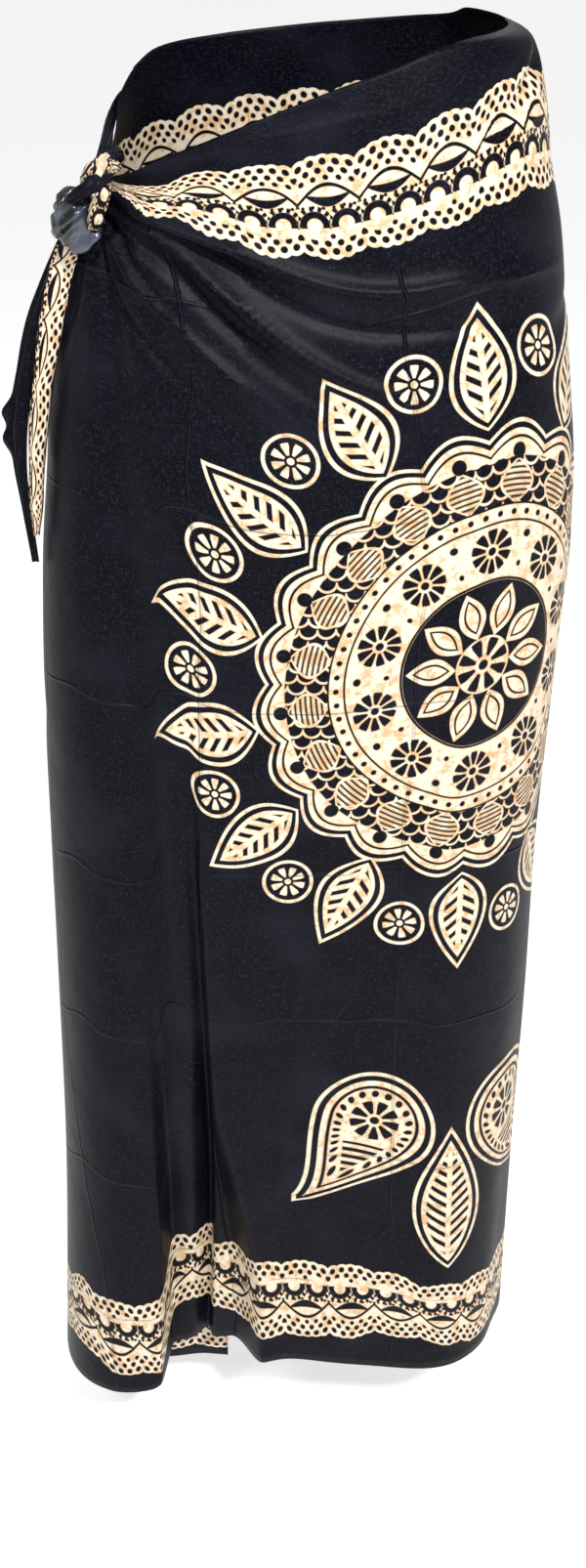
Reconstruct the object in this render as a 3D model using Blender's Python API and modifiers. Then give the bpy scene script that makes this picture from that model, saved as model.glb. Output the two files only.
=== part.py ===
"""A sarong: one rectangle of thin printed cloth, wrapped round the hips and tied at the wearer's right hip.

Metres, +Z up. The wearer faces -Y and their left is +X. The origin is the centre of the waist opening.
An angle, in degrees, is measured round the body: 0 is the front, 90 the wearer's left, 180 the back and -90
the wearer's right. The cloth hangs on a general figure, whose sections stand in FIGURE.
"""

import math
from collections import namedtuple

import bmesh
import bpy
from mathutils import Vector

# The cloth and how its stretches lie
WALL = 0.0016
SEAM_GAP = 0.0006  # at the outer faces, and about 0.3 mm at the inner ones
LAYER_GAP = 0.0035
KNOT_GAP = 0.0019

# Where the stretches of the cloth begin and end, round the body
SIDE_EDGE_ANGLE = -112.0
LEFT_SEAM_ANGLE = 92.0
BACK_END_ANGLE = 248.0
UNDERLAP_TOP_END = -80.0
UNDERLAP_HEM_END = -30.0

# Where the cloth is gathered into the knot
GATHER_ANGLE = -65.0
GATHER_DROP = 0.026
FAN_OUT_DROP = 0.80

FigureSection = namedtuple("FigureSection", "height centre half_width front back corner")
FIGURE = (
    FigureSection(0.026, 0.0160, 0.0980, 0.0840, 0.0940, 2.3),
    FigureSection(0.021, 0.0160, 0.1140, 0.0900, 0.0990, 2.3),
    FigureSection(0.014, 0.0175, 0.1275, 0.0960, 0.1020, 2.3),
    FigureSection(0.004, 0.0190, 0.1315, 0.0985, 0.1040, 2.3),
    FigureSection(-0.023, 0.0210, 0.1365, 0.1010, 0.1070, 2.3),
    FigureSection(-0.057, 0.0210, 0.1415, 0.1030, 0.1120, 2.3),
    FigureSection(-0.100, 0.0170, 0.1550, 0.1050, 0.1190, 2.3),
    FigureSection(-0.148, 0.0150, 0.1635, 0.1070, 0.1250, 2.3),
    FigureSection(-0.210, 0.0140, 0.1730, 0.1090, 0.1300, 2.3),
    FigureSection(-0.260, 0.0140, 0.1785, 0.1100, 0.1310, 2.3),
    FigureSection(-0.323, 0.0110, 0.1825, 0.1100, 0.1300, 2.3),
    FigureSection(-0.430, 0.0060, 0.1835, 0.1100, 0.1260, 2.3),
    FigureSection(-0.554, 0.0025, 0.1830, 0.1080, 0.1200, 2.3),
    FigureSection(-0.690, 0.0015, 0.1845, 0.1060, 0.1150, 2.4),
    FigureSection(-0.838, -0.0008, 0.1853, 0.1040, 0.1120, 2.6),
    FigureSection(-1.004, -0.0048, 0.1893, 0.1010, 0.1090, 2.9),
    FigureSection(-1.090, -0.0072, 0.1920, 0.0990, 0.1080, 3.0),
)

EdgeStop = namedtuple("EdgeStop", "angle height")
TOP_EDGE = (
    EdgeStop(-112, -0.0130),
    EdgeStop(-105, -0.0210),
    EdgeStop(-96, -0.0340),
    EdgeStop(-80, -0.0560),
    EdgeStop(-64, -0.0610),
    EdgeStop(-45, -0.0430),
    EdgeStop(-25, -0.0260),
    EdgeStop(0, -0.0090),
    EdgeStop(20, 0.0020),
    EdgeStop(33, 0.0105),
    EdgeStop(46, 0.0162),
    EdgeStop(60, 0.0183),
    EdgeStop(81, 0.0205),
    EdgeStop(106, 0.0212),
    EdgeStop(122, 0.0218),
    EdgeStop(133, 0.0168),
    EdgeStop(145, 0.0145),
    EdgeStop(162, 0.0116),
    EdgeStop(180, 0.0091),
    EdgeStop(199, 0.0059),
    EdgeStop(216, 0.0028),
    EdgeStop(238, -0.0030),
    EdgeStop(248, -0.0130),
)
HEM = (
    EdgeStop(-112, -1.046),
    EdgeStop(-85, -1.050),
    EdgeStop(-60, -1.051),
    EdgeStop(-49, -1.048),
    EdgeStop(-44, -1.030),
    EdgeStop(-34, -1.024),
    EdgeStop(-18, -1.019),
    EdgeStop(0, -1.014),
    EdgeStop(45, -1.018),
    EdgeStop(92, -1.024),
    EdgeStop(180, -1.030),
    EdgeStop(248, -1.046),
)
UNDERLAP_HEM = (
    EdgeStop(-112, -1.046),
    EdgeStop(-80, -1.050),
    EdgeStop(-55, -1.066),
    EdgeStop(-30, -1.072),
)

# Folds that hang down the cloth. Each column of five stands at FOLD_HEIGHTS: the angle of the crest or trough,
# how far the cloth moves out, and how wide the fold is on its right and on its left, in degrees.
FOLD_HEIGHTS = (-0.10, -0.35, -0.60, -0.85, -1.05)
HangingFold = namedtuple("HangingFold", "name facing angles depths before after")
HANGING_FOLDS = (
    HangingFold(
        "side ridge", -62, (-72, -64, -60, -58, -57),
        (0.000, 0.005, 0.008, 0.012, 0.015), (12, 13, 14, 15, 16), (5, 7, 8, 8, 8),
    ),
    HangingFold(
        "inner ridge", -30, (-60, -44, -42, -40, -40),
        (0.000, 0.002, 0.005, 0.003, 0.000), (3, 5, 5, 4, 4), (4, 6, 5, 3, 3),
    ),
    HangingFold(
        "deep slit", -20, (-52, -39, -36, -35.5, -37),
        (0.000, 0.000, -0.009, -0.017, -0.014), (2, 2, 1.6, 1.6, 2.0), (2, 2, 2.2, 2.4, 2.6),
    ),
    HangingFold(
        "front ridge", -10, (-40, -28, -24, -16, -8),
        (0.000, 0.000, 0.002, 0.003, 0.000), (6, 8, 7, 7, 6), (6, 10, 10, 10, 8),
    ),
    HangingFold(
        "front hollow", 0, (4, 6, 6, 2, 0),
        (0.000, -0.001, -0.002, -0.004, -0.006), (14, 16, 18, 18, 18), (14, 16, 18, 20, 20),
    ),
    HangingFold(
        "front swell", 40, (46, 48, 50, 52, 54),
        (0.000, 0.001, 0.003, 0.007, 0.013), (14, 14, 14, 14, 14), (12, 12, 12, 12, 12),
    ),
    HangingFold(
        "left valley", 80, (86, 80, 78, 77, 76),
        (0.000, -0.001, -0.002, -0.004, -0.006), (6, 7, 7, 7, 7), (6, 7, 7, 7, 7),
    ),
    HangingFold(
        "left ridge", 104, (110, 106, 104, 104, 104),
        (0.000, 0.001, 0.003, 0.005, 0.006), (7, 8, 8, 8, 8), (7, 8, 8, 8, 8),
    ),
    HangingFold(
        "back valley one", 127, (128, 128, 127, 126, 126),
        (0.000, -0.002, -0.005, -0.009, -0.013), (6, 7, 8, 8, 8), (7, 8, 9, 9, 9),
    ),
    HangingFold(
        "back ridge one", 149, (150, 149, 148, 148, 147),
        (0.000, 0.002, 0.004, 0.007, 0.010), (7, 9, 9, 9, 9), (7, 8, 8, 8, 8),
    ),
    HangingFold(
        "back valley two", 172, (172, 172, 171, 170, 170),
        (-0.001, -0.003, -0.007, -0.012, -0.017), (6, 7, 8, 8, 8), (6, 8, 9, 9, 9),
    ),
    HangingFold(
        "back ridge two", 195, (196, 195, 194, 193, 193),
        (0.000, 0.001, 0.004, 0.007, 0.011), (7, 8, 9, 9, 9), (7, 8, 9, 9, 9),
    ),
    HangingFold(
        "back valley three", 216, (218, 216, 215, 214, 214),
        (0.000, -0.002, -0.005, -0.008, -0.011), (6, 7, 8, 8, 8), (6, 7, 8, 8, 8),
    ),
)

# The recess beside the side ridge, a soft valley that becomes a deep pocket at the hem. It faces the front.
RecessStop = namedtuple("RecessStop", "height start start_width end end_width depth")
RECESS = (
    RecessStop(-0.06, -66.0, 5.0, -58.0, 5, 0.0010),
    RecessStop(-0.12, -63.5, 6.0, -55.0, 7, 0.0040),
    RecessStop(-0.35, -55.0, 7.0, -46.0, 9, 0.0075),
    RecessStop(-0.55, -50.5, 6.0, -42.0, 9, 0.0090),
    RecessStop(-0.75, -47.5, 4.5, -33.0, 10, 0.0140),
    RecessStop(-0.90, -46.0, 2.8, -20.0, 13, 0.0290),
    RecessStop(-1.05, -46.0, 2.4, -18.0, 16, 0.0390),
)

# Folds that the pull of the knot fans out across the front. Heights are given at the angles of FAN_ANGLES.
FAN_ANGLES = (-64, -48, -30, -12, 6, 24, 42)
FanFold = namedtuple("FanFold", "name lift spread fade heights")
FAN_FOLDS = (
    FanFold("margin ridge", 0.0020, 0.008, 10, (-0.062, -0.048, -0.039, -0.032, -0.025, -0.018, -0.010)),
    FanFold("border hollow", -0.0018, 0.010, 20, (-0.066, -0.066, -0.066, -0.066, -0.066, -0.062, -0.056)),
    FanFold("upper ridge", 0.0045, 0.011, 60, (-0.072, -0.084, -0.095, -0.108, -0.118, -0.121, -0.117)),
    FanFold("upper hollow", -0.0040, 0.011, 44, (-0.076, -0.087, -0.107, -0.127, -0.141, -0.146, -0.145)),
    FanFold("middle ridge", 0.0055, 0.010, 22, (-0.080, -0.091, -0.120, -0.149, -0.170, -0.184, -0.190)),
    FanFold("middle hollow", -0.0045, 0.011, 4, (-0.086, -0.106, -0.141, -0.170, -0.192, -0.206, -0.216)),
    FanFold("lower ridge", 0.0050, 0.011, -10, (-0.090, -0.129, -0.165, -0.197, -0.222, -0.240, -0.250)),
    FanFold("lower hollow", -0.0030, 0.014, -20, (-0.106, -0.160, -0.198, -0.232, -0.260, -0.280, -0.290)),
)

# Where the columns of the outer wall stand at the hem, closer together in the folds
ColumnStop = namedtuple("ColumnStop", "share angle")
FRONT_COLUMNS = (
    ColumnStop(0.00, SIDE_EDGE_ANGLE),
    ColumnStop(0.13, -76),
    ColumnStop(0.24, -52),
    ColumnStop(0.36, -43.5),
    ColumnStop(0.52, -32),
    ColumnStop(0.66, -10),
    ColumnStop(1.00, LEFT_SEAM_ANGLE),
)

# The strands of the knot: where the middle of each runs, and how thick and broad it is there
Station = namedtuple("Station", "x y z thick broad")
KNOT_LUMP = (
    Station(-0.1230, -0.0560, -0.0660, 0.018, 0.022),
    Station(-0.1270, -0.0570, -0.0740, 0.026, 0.029),
    Station(-0.1300, -0.0580, -0.0850, 0.030, 0.034),
    Station(-0.1325, -0.0560, -0.0950, 0.027, 0.032),
    Station(-0.1345, -0.0530, -0.1030, 0.020, 0.025),
)
KNOT_STRAP = (
    Station(-0.1100, -0.0500, -0.0530, 0.010, 0.012),
    Station(-0.1085, -0.0620, -0.0480, 0.011, 0.016),
    Station(-0.1130, -0.0710, -0.0510, 0.010, 0.020),
    Station(-0.1190, -0.0750, -0.0580, 0.010, 0.021),
    Station(-0.1270, -0.0720, -0.0670, 0.010, 0.018),
    Station(-0.1350, -0.0620, -0.0750, 0.009, 0.014),
)
KNOT_BAND = (
    Station(-0.1080, -0.0690, -0.0640, 0.010, 0.010),
    Station(-0.1150, -0.0770, -0.0640, 0.010, 0.011),
    Station(-0.1240, -0.0805, -0.0680, 0.009, 0.012),
    Station(-0.1345, -0.0730, -0.0760, 0.009, 0.012),
    Station(-0.1410, -0.0610, -0.0820, 0.008, 0.009),
)
KNOT_STRIP = (
    Station(-0.1110, -0.0700, -0.0640, 0.009, 0.009),
    Station(-0.1150, -0.0760, -0.0710, 0.009, 0.010),
    Station(-0.1190, -0.0770, -0.0790, 0.009, 0.013),
    Station(-0.1230, -0.0720, -0.0890, 0.009, 0.013),
    Station(-0.1270, -0.0650, -0.0970, 0.008, 0.009),
)
WAIST_STRAND = (
    Station(-0.1230, -0.0060, -0.0570, 0.003, 0.008),
    Station(-0.1265, -0.0160, -0.0620, 0.005, 0.012),
    Station(-0.1285, -0.0270, -0.0670, 0.008, 0.016),
    Station(-0.1285, -0.0380, -0.0710, 0.010, 0.018),
    Station(-0.1270, -0.0480, -0.0740, 0.010, 0.016),
)

# The tails hang below the knot: the middle of each, how broad it is and which way it faces
TailStop = namedtuple("TailStop", "x y z broad facing")
TAIL_FRONT = (
    TailStop(-0.1400, -0.0532, -0.1044, 0.013, -50),
    TailStop(-0.1480, -0.0510, -0.1250, 0.018, -46),
    TailStop(-0.1550, -0.0500, -0.1520, 0.021, -42),
    TailStop(-0.1622, -0.0490, -0.1844, 0.021, -38),
    TailStop(-0.1680, -0.0480, -0.2170, 0.019, -36),
    TailStop(-0.1712, -0.0470, -0.2504, 0.017, -34),
    TailStop(-0.1730, -0.0465, -0.2776, 0.013, -34),
    TailStop(-0.1742, -0.0460, -0.2970, 0.006, -34),
)
TAIL_BACK = (
    TailStop(-0.1408, -0.0452, -0.0990, 0.009, -78),
    TailStop(-0.1545, -0.0340, -0.1280, 0.018, -78),
    TailStop(-0.1667, -0.0290, -0.1580, 0.024, -76),
    TailStop(-0.1756, -0.0270, -0.1903, 0.027, -74),
    TailStop(-0.1825, -0.0260, -0.2234, 0.027, -72),
    TailStop(-0.1838, -0.0270, -0.2560, 0.024, -70),
    TailStop(-0.1810, -0.0300, -0.2860, 0.017, -70),
    TailStop(-0.1770, -0.0350, -0.3200, 0.005, -70),
)
TAIL_FOLD = 0.0040


def smooth(share):
    """0 to 1 with flat ends."""
    share = min(1.0, max(0.0, share))
    return share * share * (3 - 2 * share)


def through(xs, ys, x):
    """A smooth curve through the points (xs, ys), which stays level past its ends."""
    if x <= xs[0]:
        return ys[0]
    if x >= xs[-1]:
        return ys[-1]
    i = max(k for k in range(len(xs) - 1) if xs[k] <= x)
    slopes = []
    for k in (i, i + 1):
        low, high = max(0, k - 1), min(len(xs) - 1, k + 1)
        slopes.append((ys[high] - ys[low]) / (xs[high] - xs[low]))
    width = xs[i + 1] - xs[i]
    t = (x - xs[i]) / width
    start, end = ys[i], ys[i + 1]
    return (
        start * (1 + 2 * t) * (1 - t) ** 2
        + end * t * t * (3 - 2 * t)
        + slopes[0] * width * t * (1 - t) ** 2
        - slopes[1] * width * t * t * (1 - t)
    )


def straight(xs, ys, x):
    """Straight lines through the points (xs, ys), level past the ends."""
    if x <= xs[0]:
        return ys[0]
    for k in range(len(xs) - 1):
        if x <= xs[k + 1]:
            return ys[k] + (ys[k + 1] - ys[k]) * (x - xs[k]) / (xs[k + 1] - xs[k])
    return ys[-1]


def edge_height(stops, angle):
    return through([s.angle for s in stops], [s.height for s in stops], angle)


def column_value(rows, height, column):
    """The value of a column of a table whose rows run down from the top."""
    upward = rows[::-1]
    return through([r.height for r in upward], [getattr(r, column) for r in upward], height)


def facing(angle):
    turn = math.radians(angle)
    return Vector((math.sin(turn), -math.cos(turn), 0))


def figure_point(angle, height, out=0.0):
    """The point of the general figure at this angle and height, moved straight out by so much."""
    way = facing(angle)
    depth = column_value(FIGURE, height, "front" if way.y < 0 else "back")
    corner = column_value(FIGURE, height, "corner")
    wide = (abs(way.x) / column_value(FIGURE, height, "half_width")) ** corner
    deep = (abs(way.y) / depth) ** corner
    reach = (wide + deep) ** (-1 / corner) + out
    return Vector((column_value(FIGURE, height, "centre"), 0, height)) + way * reach


def bell(distance, spread):
    return math.exp(-((distance / spread) ** 2))


def hanging_shift(angle, height):
    """How the folds that hang down the cloth move it."""
    upward = FOLD_HEIGHTS[::-1]
    total = Vector((0, 0, 0))
    for fold in HANGING_FOLDS:
        offset = angle - through(upward, fold.angles[::-1], height)
        spread = through(upward, (fold.before if offset < 0 else fold.after)[::-1], height)
        total += facing(fold.facing) * (through(upward, fold.depths[::-1], height) * bell(offset, spread))
    return total


def recess_shift(angle, height):
    start = column_value(RECESS, height, "start")
    start_width = column_value(RECESS, height, "start_width")
    end = column_value(RECESS, height, "end")
    end_width = column_value(RECESS, height, "end_width")
    opening = smooth((angle - start) / start_width + 0.5) * smooth((end - angle) / end_width + 0.5)
    return Vector((0, column_value(RECESS, height, "depth") * opening, 0))


def fan_lift(angle, height):
    """How far the folds that fan out of the knot move the cloth out."""
    total = 0.0
    for fold in FAN_FOLDS:
        middle = through(FAN_ANGLES, fold.heights, angle)
        reach = smooth((fold.fade + 25 - angle) / 50) * smooth((angle + 76) / 14)
        opening = 0.35 + 0.65 * smooth((angle + 66) / 30)
        total += fold.lift * reach * (0.5 + 0.5 * opening) * bell(height - middle, fold.spread * opening)
    return total


def outer_point(angle, height):
    """The outer face of the cloth at this angle and height."""
    lifted = LAYER_GAP * smooth((-38 - angle) / 16) + fan_lift(angle, height)
    return figure_point(angle, height, lifted) + hanging_shift(angle, height) + recess_shift(angle, height)


def top_angle(hem_angle):
    """Where a column of the outer wall that ends at hem_angle starts: at the top edge, or gathered in the knot."""
    if hem_angle < -45:
        return GATHER_ANGLE + (hem_angle + 45) * 0.14
    return GATHER_ANGLE + (hem_angle + 45) * (LEFT_SEAM_ANGLE - GATHER_ANGLE) / (LEFT_SEAM_ANGLE + 45)


def fan_out(start, end, drop):
    """The angle, this far down, of a column that starts at one angle and hangs to another."""
    return start + (end - start) * (1 - (1 - min(1.0, drop / FAN_OUT_DROP)) ** 1.6)


def front_wall(share, drop):
    """The outer layer: share runs along the cloth from its free side edge, drop runs down it."""
    hem_angle = straight([c.share for c in FRONT_COLUMNS], [c.angle for c in FRONT_COLUMNS], share)
    start = top_angle(hem_angle)
    angle = fan_out(start, hem_angle, drop)
    top = edge_height(TOP_EDGE, start) - GATHER_DROP * smooth((-42 - hem_angle) / 50)
    height = top + (edge_height(HEM, hem_angle) - top) * drop
    return outer_point(angle, height)


def seam_turn():
    """The seam gap as an angle at the hips."""
    return math.degrees(SEAM_GAP / 0.185)


def back_wall(share, drop):
    start = LEFT_SEAM_ANGLE + seam_turn()
    angle = start + (BACK_END_ANGLE - start) * share
    top = edge_height(TOP_EDGE, angle)
    height = top + (edge_height(HEM, angle) - top) * drop
    return figure_point(angle, height) + hanging_shift(angle, height)


def underlap_wall(share, drop):
    """The end that runs on from the back under the outer layer, drawn up into the knot at its top."""
    start = SIDE_EDGE_ANGLE + seam_turn()
    end = fan_out(UNDERLAP_TOP_END, UNDERLAP_HEM_END, drop)
    angle = start + (end - start) * share
    top = edge_height(TOP_EDGE, angle) - 0.005 * smooth(share * 3)
    height = top + (edge_height(UNDERLAP_HEM, angle) - top) * drop
    tucked = 0.0055 * smooth((angle - start - 7) / 14) + 0.006 * smooth((angle + 86) / 30)
    deeper = column_value(RECESS, height, "depth") * smooth((angle + 84) / 34)
    slit = 0.014 * smooth((-0.45 - height) / 0.25) * smooth((angle + 58) / 20)
    return figure_point(angle, height, -tucked) + Vector((0, deeper + slit, 0))


def material(name, colour, roughness):
    finish = bpy.data.materials.new(name)
    finish.use_nodes = True
    shader = finish.node_tree.nodes["Principled BSDF"]
    shader.inputs["Base Color"].default_value = (*colour, 1)
    shader.inputs["Roughness"].default_value = roughness
    shader.inputs["Metallic"].default_value = 0.0
    return finish


def add_object(name, mesh, finish, collection):
    piece = bpy.data.objects.new(name, mesh)
    collection.objects.link(piece)
    mesh.materials.append(finish)
    mesh.shade_smooth()
    return piece


def cloth_wall(name, columns, rows, place, finish, collection):
    """A grid laid out by place(share along, share down), then given its wall, inwards from its outer face."""
    shape = bmesh.new()
    bmesh.ops.create_grid(shape, x_segments=columns, y_segments=rows, size=0.5)
    for vert in shape.verts:
        vert.co = place(vert.co.x + 0.5, 0.5 - vert.co.y)
    mesh = bpy.data.meshes.new(name)
    shape.to_mesh(mesh)
    shape.free()
    piece = add_object(name, mesh, finish, collection)
    thickness = piece.modifiers.new("wall", "SOLIDIFY")
    thickness.thickness = WALL
    thickness.offset = -1
    thickness.use_even_offset = True
    return piece


def clear_of_wall(spot):
    """Moves a point of the knot out to where it lies on the outer layer, if it would be inside it."""
    centre = Vector((column_value(FIGURE, spot.z, "centre"), 0, spot.z))
    reach = spot - centre
    angle = math.degrees(math.atan2(reach.x, -reach.y))
    least = (outer_point(angle, spot.z) - centre).length + KNOT_GAP
    return centre + reach.normalized() * max(reach.length, least)


def strand(name, stations, rings, sides, pleats, finish, collection):
    """A closed loft along the stations, pleated lengthwise and rounded off at both ends."""
    places = [k / (len(stations) - 1) for k in range(len(stations))]

    def value(share, column):
        return through(places, [getattr(s, column) for s in stations], share)

    def middle(share):
        share = min(1.0, max(0.0, share))
        return Vector((value(share, "x"), value(share, "y"), value(share, "z")))

    shape = bmesh.new()
    loops = []
    for ring in range(rings + 1):
        share = ring / rings
        along = (middle(share + 0.5 / rings) - middle(share - 0.5 / rings)).normalized()
        outward = middle(share) - Vector((0.017, 0, middle(share).z))
        outward = (outward - along * outward.dot(along)).normalized()
        across = along.cross(outward)
        closing = 0.35 + 0.65 * math.sqrt(max(0.0, 1 - (2 * share - 1) ** 6))
        thick = value(share, "thick") / 2 * closing
        broad = value(share, "broad") / 2 * closing
        loop = []
        for side in range(sides):
            round_about = 2 * math.pi * side / sides
            pleat = 1 + 0.09 * math.cos(pleats * round_about + 3 * share)
            spot = outward * (thick * pleat * math.sin(round_about)) + across * (broad * math.cos(round_about))
            loop.append(shape.verts.new(clear_of_wall(middle(share) + spot)))
        loops.append(loop)
    for low, high in zip(loops, loops[1:]):
        for side in range(sides):
            after = (side + 1) % sides
            shape.faces.new((low[side], low[after], high[after], high[side]))
    shape.faces.new(loops[0][::-1])
    shape.faces.new(loops[-1])
    bmesh.ops.recalc_face_normals(shape, faces=shape.faces)
    mesh = bpy.data.meshes.new(name)
    shape.to_mesh(mesh)
    shape.free()
    return add_object(name, mesh, finish, collection)


def tail_wall(stops):
    """Places a sheet whose width runs in soft S folds while it hangs along the stops."""
    places = [k / (len(stops) - 1) for k in range(len(stops))]

    def value(share, column):
        return through(places, [getattr(s, column) for s in stops], share)

    def place(share, drop):
        middle = Vector((value(drop, "x"), value(drop, "y"), value(drop, "z")))
        outward = facing(value(drop, "facing"))
        across = Vector((-outward.y, outward.x, 0))
        wave = math.sin(2 * math.pi * 1.4 * share + 0.6 + 0.7 * drop)
        depth = TAIL_FOLD * (0.5 + 0.5 * math.sin(math.pi * min(1.0, drop + 0.15)))
        return middle + across * (value(drop, "broad") * (share - 0.5)) + outward * (depth * wave)

    return place


def main():
    for thing in list(bpy.data.objects):
        bpy.data.objects.remove(thing)
    collection = bpy.data.collections.new("sarong")
    bpy.context.scene.collection.children.link(collection)
    printed = material("printed_rayon", (0.025, 0.025, 0.035), 0.62)
    dark = material("knot_rayon", (0.03, 0.032, 0.045), 0.55)
    pale = material("border_rayon", (0.80, 0.66, 0.42), 0.62)

    cloth_wall("wrap_front", 50, 26, front_wall, printed, collection)
    cloth_wall("wrap_back", 24, 14, back_wall, printed, collection)
    cloth_wall("underlap", 10, 14, underlap_wall, printed, collection)

    knot = strand("knot", KNOT_LUMP, 9, 14, 5, dark, collection)
    for name, stations in (
        ("knot_strap", KNOT_STRAP),
        ("knot_band", KNOT_BAND),
        ("knot_strip", KNOT_STRIP),
        ("waist_strand", WAIST_STRAND),
    ):
        helper = strand(name, stations, 9, 10, 3, pale if name != "knot_band" else dark, collection)
        helper.hide_render = True
        helper.display_type = "WIRE"
        joined = knot.modifiers.new(name, "BOOLEAN")
        joined.operation = "UNION"
        joined.solver = "EXACT"
        joined.object = helper
    cloth_wall("tail_front", 9, 12, tail_wall(TAIL_FRONT), pale, collection)
    cloth_wall("tail_back", 9, 12, tail_wall(TAIL_BACK), dark, collection)


main()
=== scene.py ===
import math
from collections import namedtuple
from functools import reduce

import bpy
import numpy as np
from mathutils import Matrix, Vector


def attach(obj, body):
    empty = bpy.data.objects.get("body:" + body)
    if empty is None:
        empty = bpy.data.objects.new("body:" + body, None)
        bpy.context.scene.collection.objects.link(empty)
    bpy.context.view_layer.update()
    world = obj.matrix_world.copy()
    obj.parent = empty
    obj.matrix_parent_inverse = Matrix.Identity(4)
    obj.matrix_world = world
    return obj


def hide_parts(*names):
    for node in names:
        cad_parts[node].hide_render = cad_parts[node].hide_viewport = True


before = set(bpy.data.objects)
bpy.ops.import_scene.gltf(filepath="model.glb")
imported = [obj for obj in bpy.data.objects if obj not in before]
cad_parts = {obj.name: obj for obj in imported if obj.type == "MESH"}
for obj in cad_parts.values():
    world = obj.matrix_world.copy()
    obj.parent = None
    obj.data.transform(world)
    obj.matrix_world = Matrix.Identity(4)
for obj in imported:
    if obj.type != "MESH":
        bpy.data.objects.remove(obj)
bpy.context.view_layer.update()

bl_info = {
    "name": "Batik Sarong",
    "version": (1, 0, 0),
    "blender": (4, 5, 0),
    "location": "3D Viewport > Sidebar > Sarong",
    "description": "Dresses the sarong's solids as one thin printed cloth, wrapped and tied at the hip",
    "category": "Object",
}


class SarongSizes(bpy.types.PropertyGroup):
    fabric_thickness: bpy.props.FloatProperty(
        name="Fabric Thickness", description="Thickness of the cloth",
        default=0.0005, min=0.0002, max=0.003, unit="LENGTH",
    )
    motif_repeat: bpy.props.FloatProperty(
        name="Motif Repeat", description="Distance along the cloth from one medallion to the next",
        default=0.62, min=0.5, max=0.9, unit="LENGTH",
    )
    tail_fold: bpy.props.FloatProperty(
        name="Tail Fold", description="Depth of the folds that run down the two tails", default=0.004,
        min=0.001, max=0.008, unit="LENGTH",
    )
    ground_colour: bpy.props.FloatVectorProperty(
        name="Ground Colour", description="Dye of the cloth where it is not printed", size=3,
        default=(0.0012, 0.0012, 0.0036), min=0.0, max=1.0, subtype="COLOR",
    )
    # Lighter colour of the ground: the cloth's own wear along slubs and in worn patches, and a painted
    # highlight along the crease lines
    worn_and_crease_highlight_colour: bpy.props.FloatVectorProperty(
        name="Worn And Crease Highlight Colour", description="Colour of the ground along slubs and creases", size=3,
        default=(0.0190, 0.0195, 0.0320), min=0.0, max=1.0, subtype="COLOR",
    )
    cream_colour: bpy.props.FloatVectorProperty(
        name="Cream Colour", description="Pale colour of the print", size=3,
        default=(0.690, 0.600, 0.460), min=0.0, max=1.0, subtype="COLOR",
    )
    tan_colour: bpy.props.FloatVectorProperty(
        name="Tan Colour", description="Colour of the print's crackle and blotches", size=3,
        default=(0.520, 0.270, 0.090), min=0.0, max=1.0, subtype="COLOR",
    )
    columns: bpy.props.IntProperty(
        name="Columns", description="Columns of the outer layer's mesh", default=230, min=60, max=300
    )
    rows: bpy.props.IntProperty(
        name="Rows", description="Rows of the outer layer's mesh", default=205, min=40, max=300
    )


def chosen():
    """The sizes and colours set in the panel."""
    return bpy.context.scene.sarong_sizes


def opaque(colour):
    return (*colour, 1.0)


def table(columns, *rows):
    """Rows of values whose columns have names."""
    row_kind = namedtuple("Row", columns)
    return tuple(row_kind(*row) for row in rows)


# The cloth, in metres. Its ends lie at the wearer's right, and an angle of 0 is the front, 90 the left.
CLOTH_DROP = 1.067
PRINT_MARGIN = 0.055
PRINT_WIDTH = 0.062
PRINT_END = PRINT_MARGIN + PRINT_WIDTH
LENS_PITCH = 0.0375
SIDE_EDGE_ANGLE = -112.0
BACK_END_ANGLE = 248.0
LEFT_ANGLE = 92.0
LEFT_ALONG = 0.150
UNDERLAP_TOP_END = -80.0
UNDERLAP_HEM_END = -30.0
GATHER_ANGLE = -65.0
GATHER_DROP = 0.026
POCKET_ANGLE = -45.0
PLEAT_ANGLE = -67
PLEAT_HEIGHT = -0.072
PLEAT_DEPTH = 0.0019
METRES_PER_DEGREE = 0.0026
FAN_OUT_DROP = 0.80
LAYER_GAP = 0.0035
SEAM_LAP = 0.8
SUNK_BEHIND_KNOT = 0.012
CRUMPLE_GRAIN = 0.0085
BODY_CENTRE = 0.017
FULL_TURN = 2 * math.pi

# How the print reaches the side edge: where it starts, how far it is tucked in, and a place far from it
SIDE_PRINT_START = 0.034
SIDE_PRINT_TUCK = 0.085
FAR_FROM_SIDE = 0.4

# Where the rows of the outer layer's mesh lie down its drop, closer together at the top
ROW_SHARES = (0.0, 0.06, 0.55, 1.0)
ROW_DROPS = (0.0, 0.03, 0.31, 1.0)

# How fine the meshes of the other pieces are
BACK_COLUMNS = 200
UNDERLAP_COLUMNS = 70
UNDERLAP_ROWS = 160
STRAND_RINGS = 56
STRAND_SIDES = 61
TAIL_COLUMNS = 60
TAIL_ROWS = 150

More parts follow.
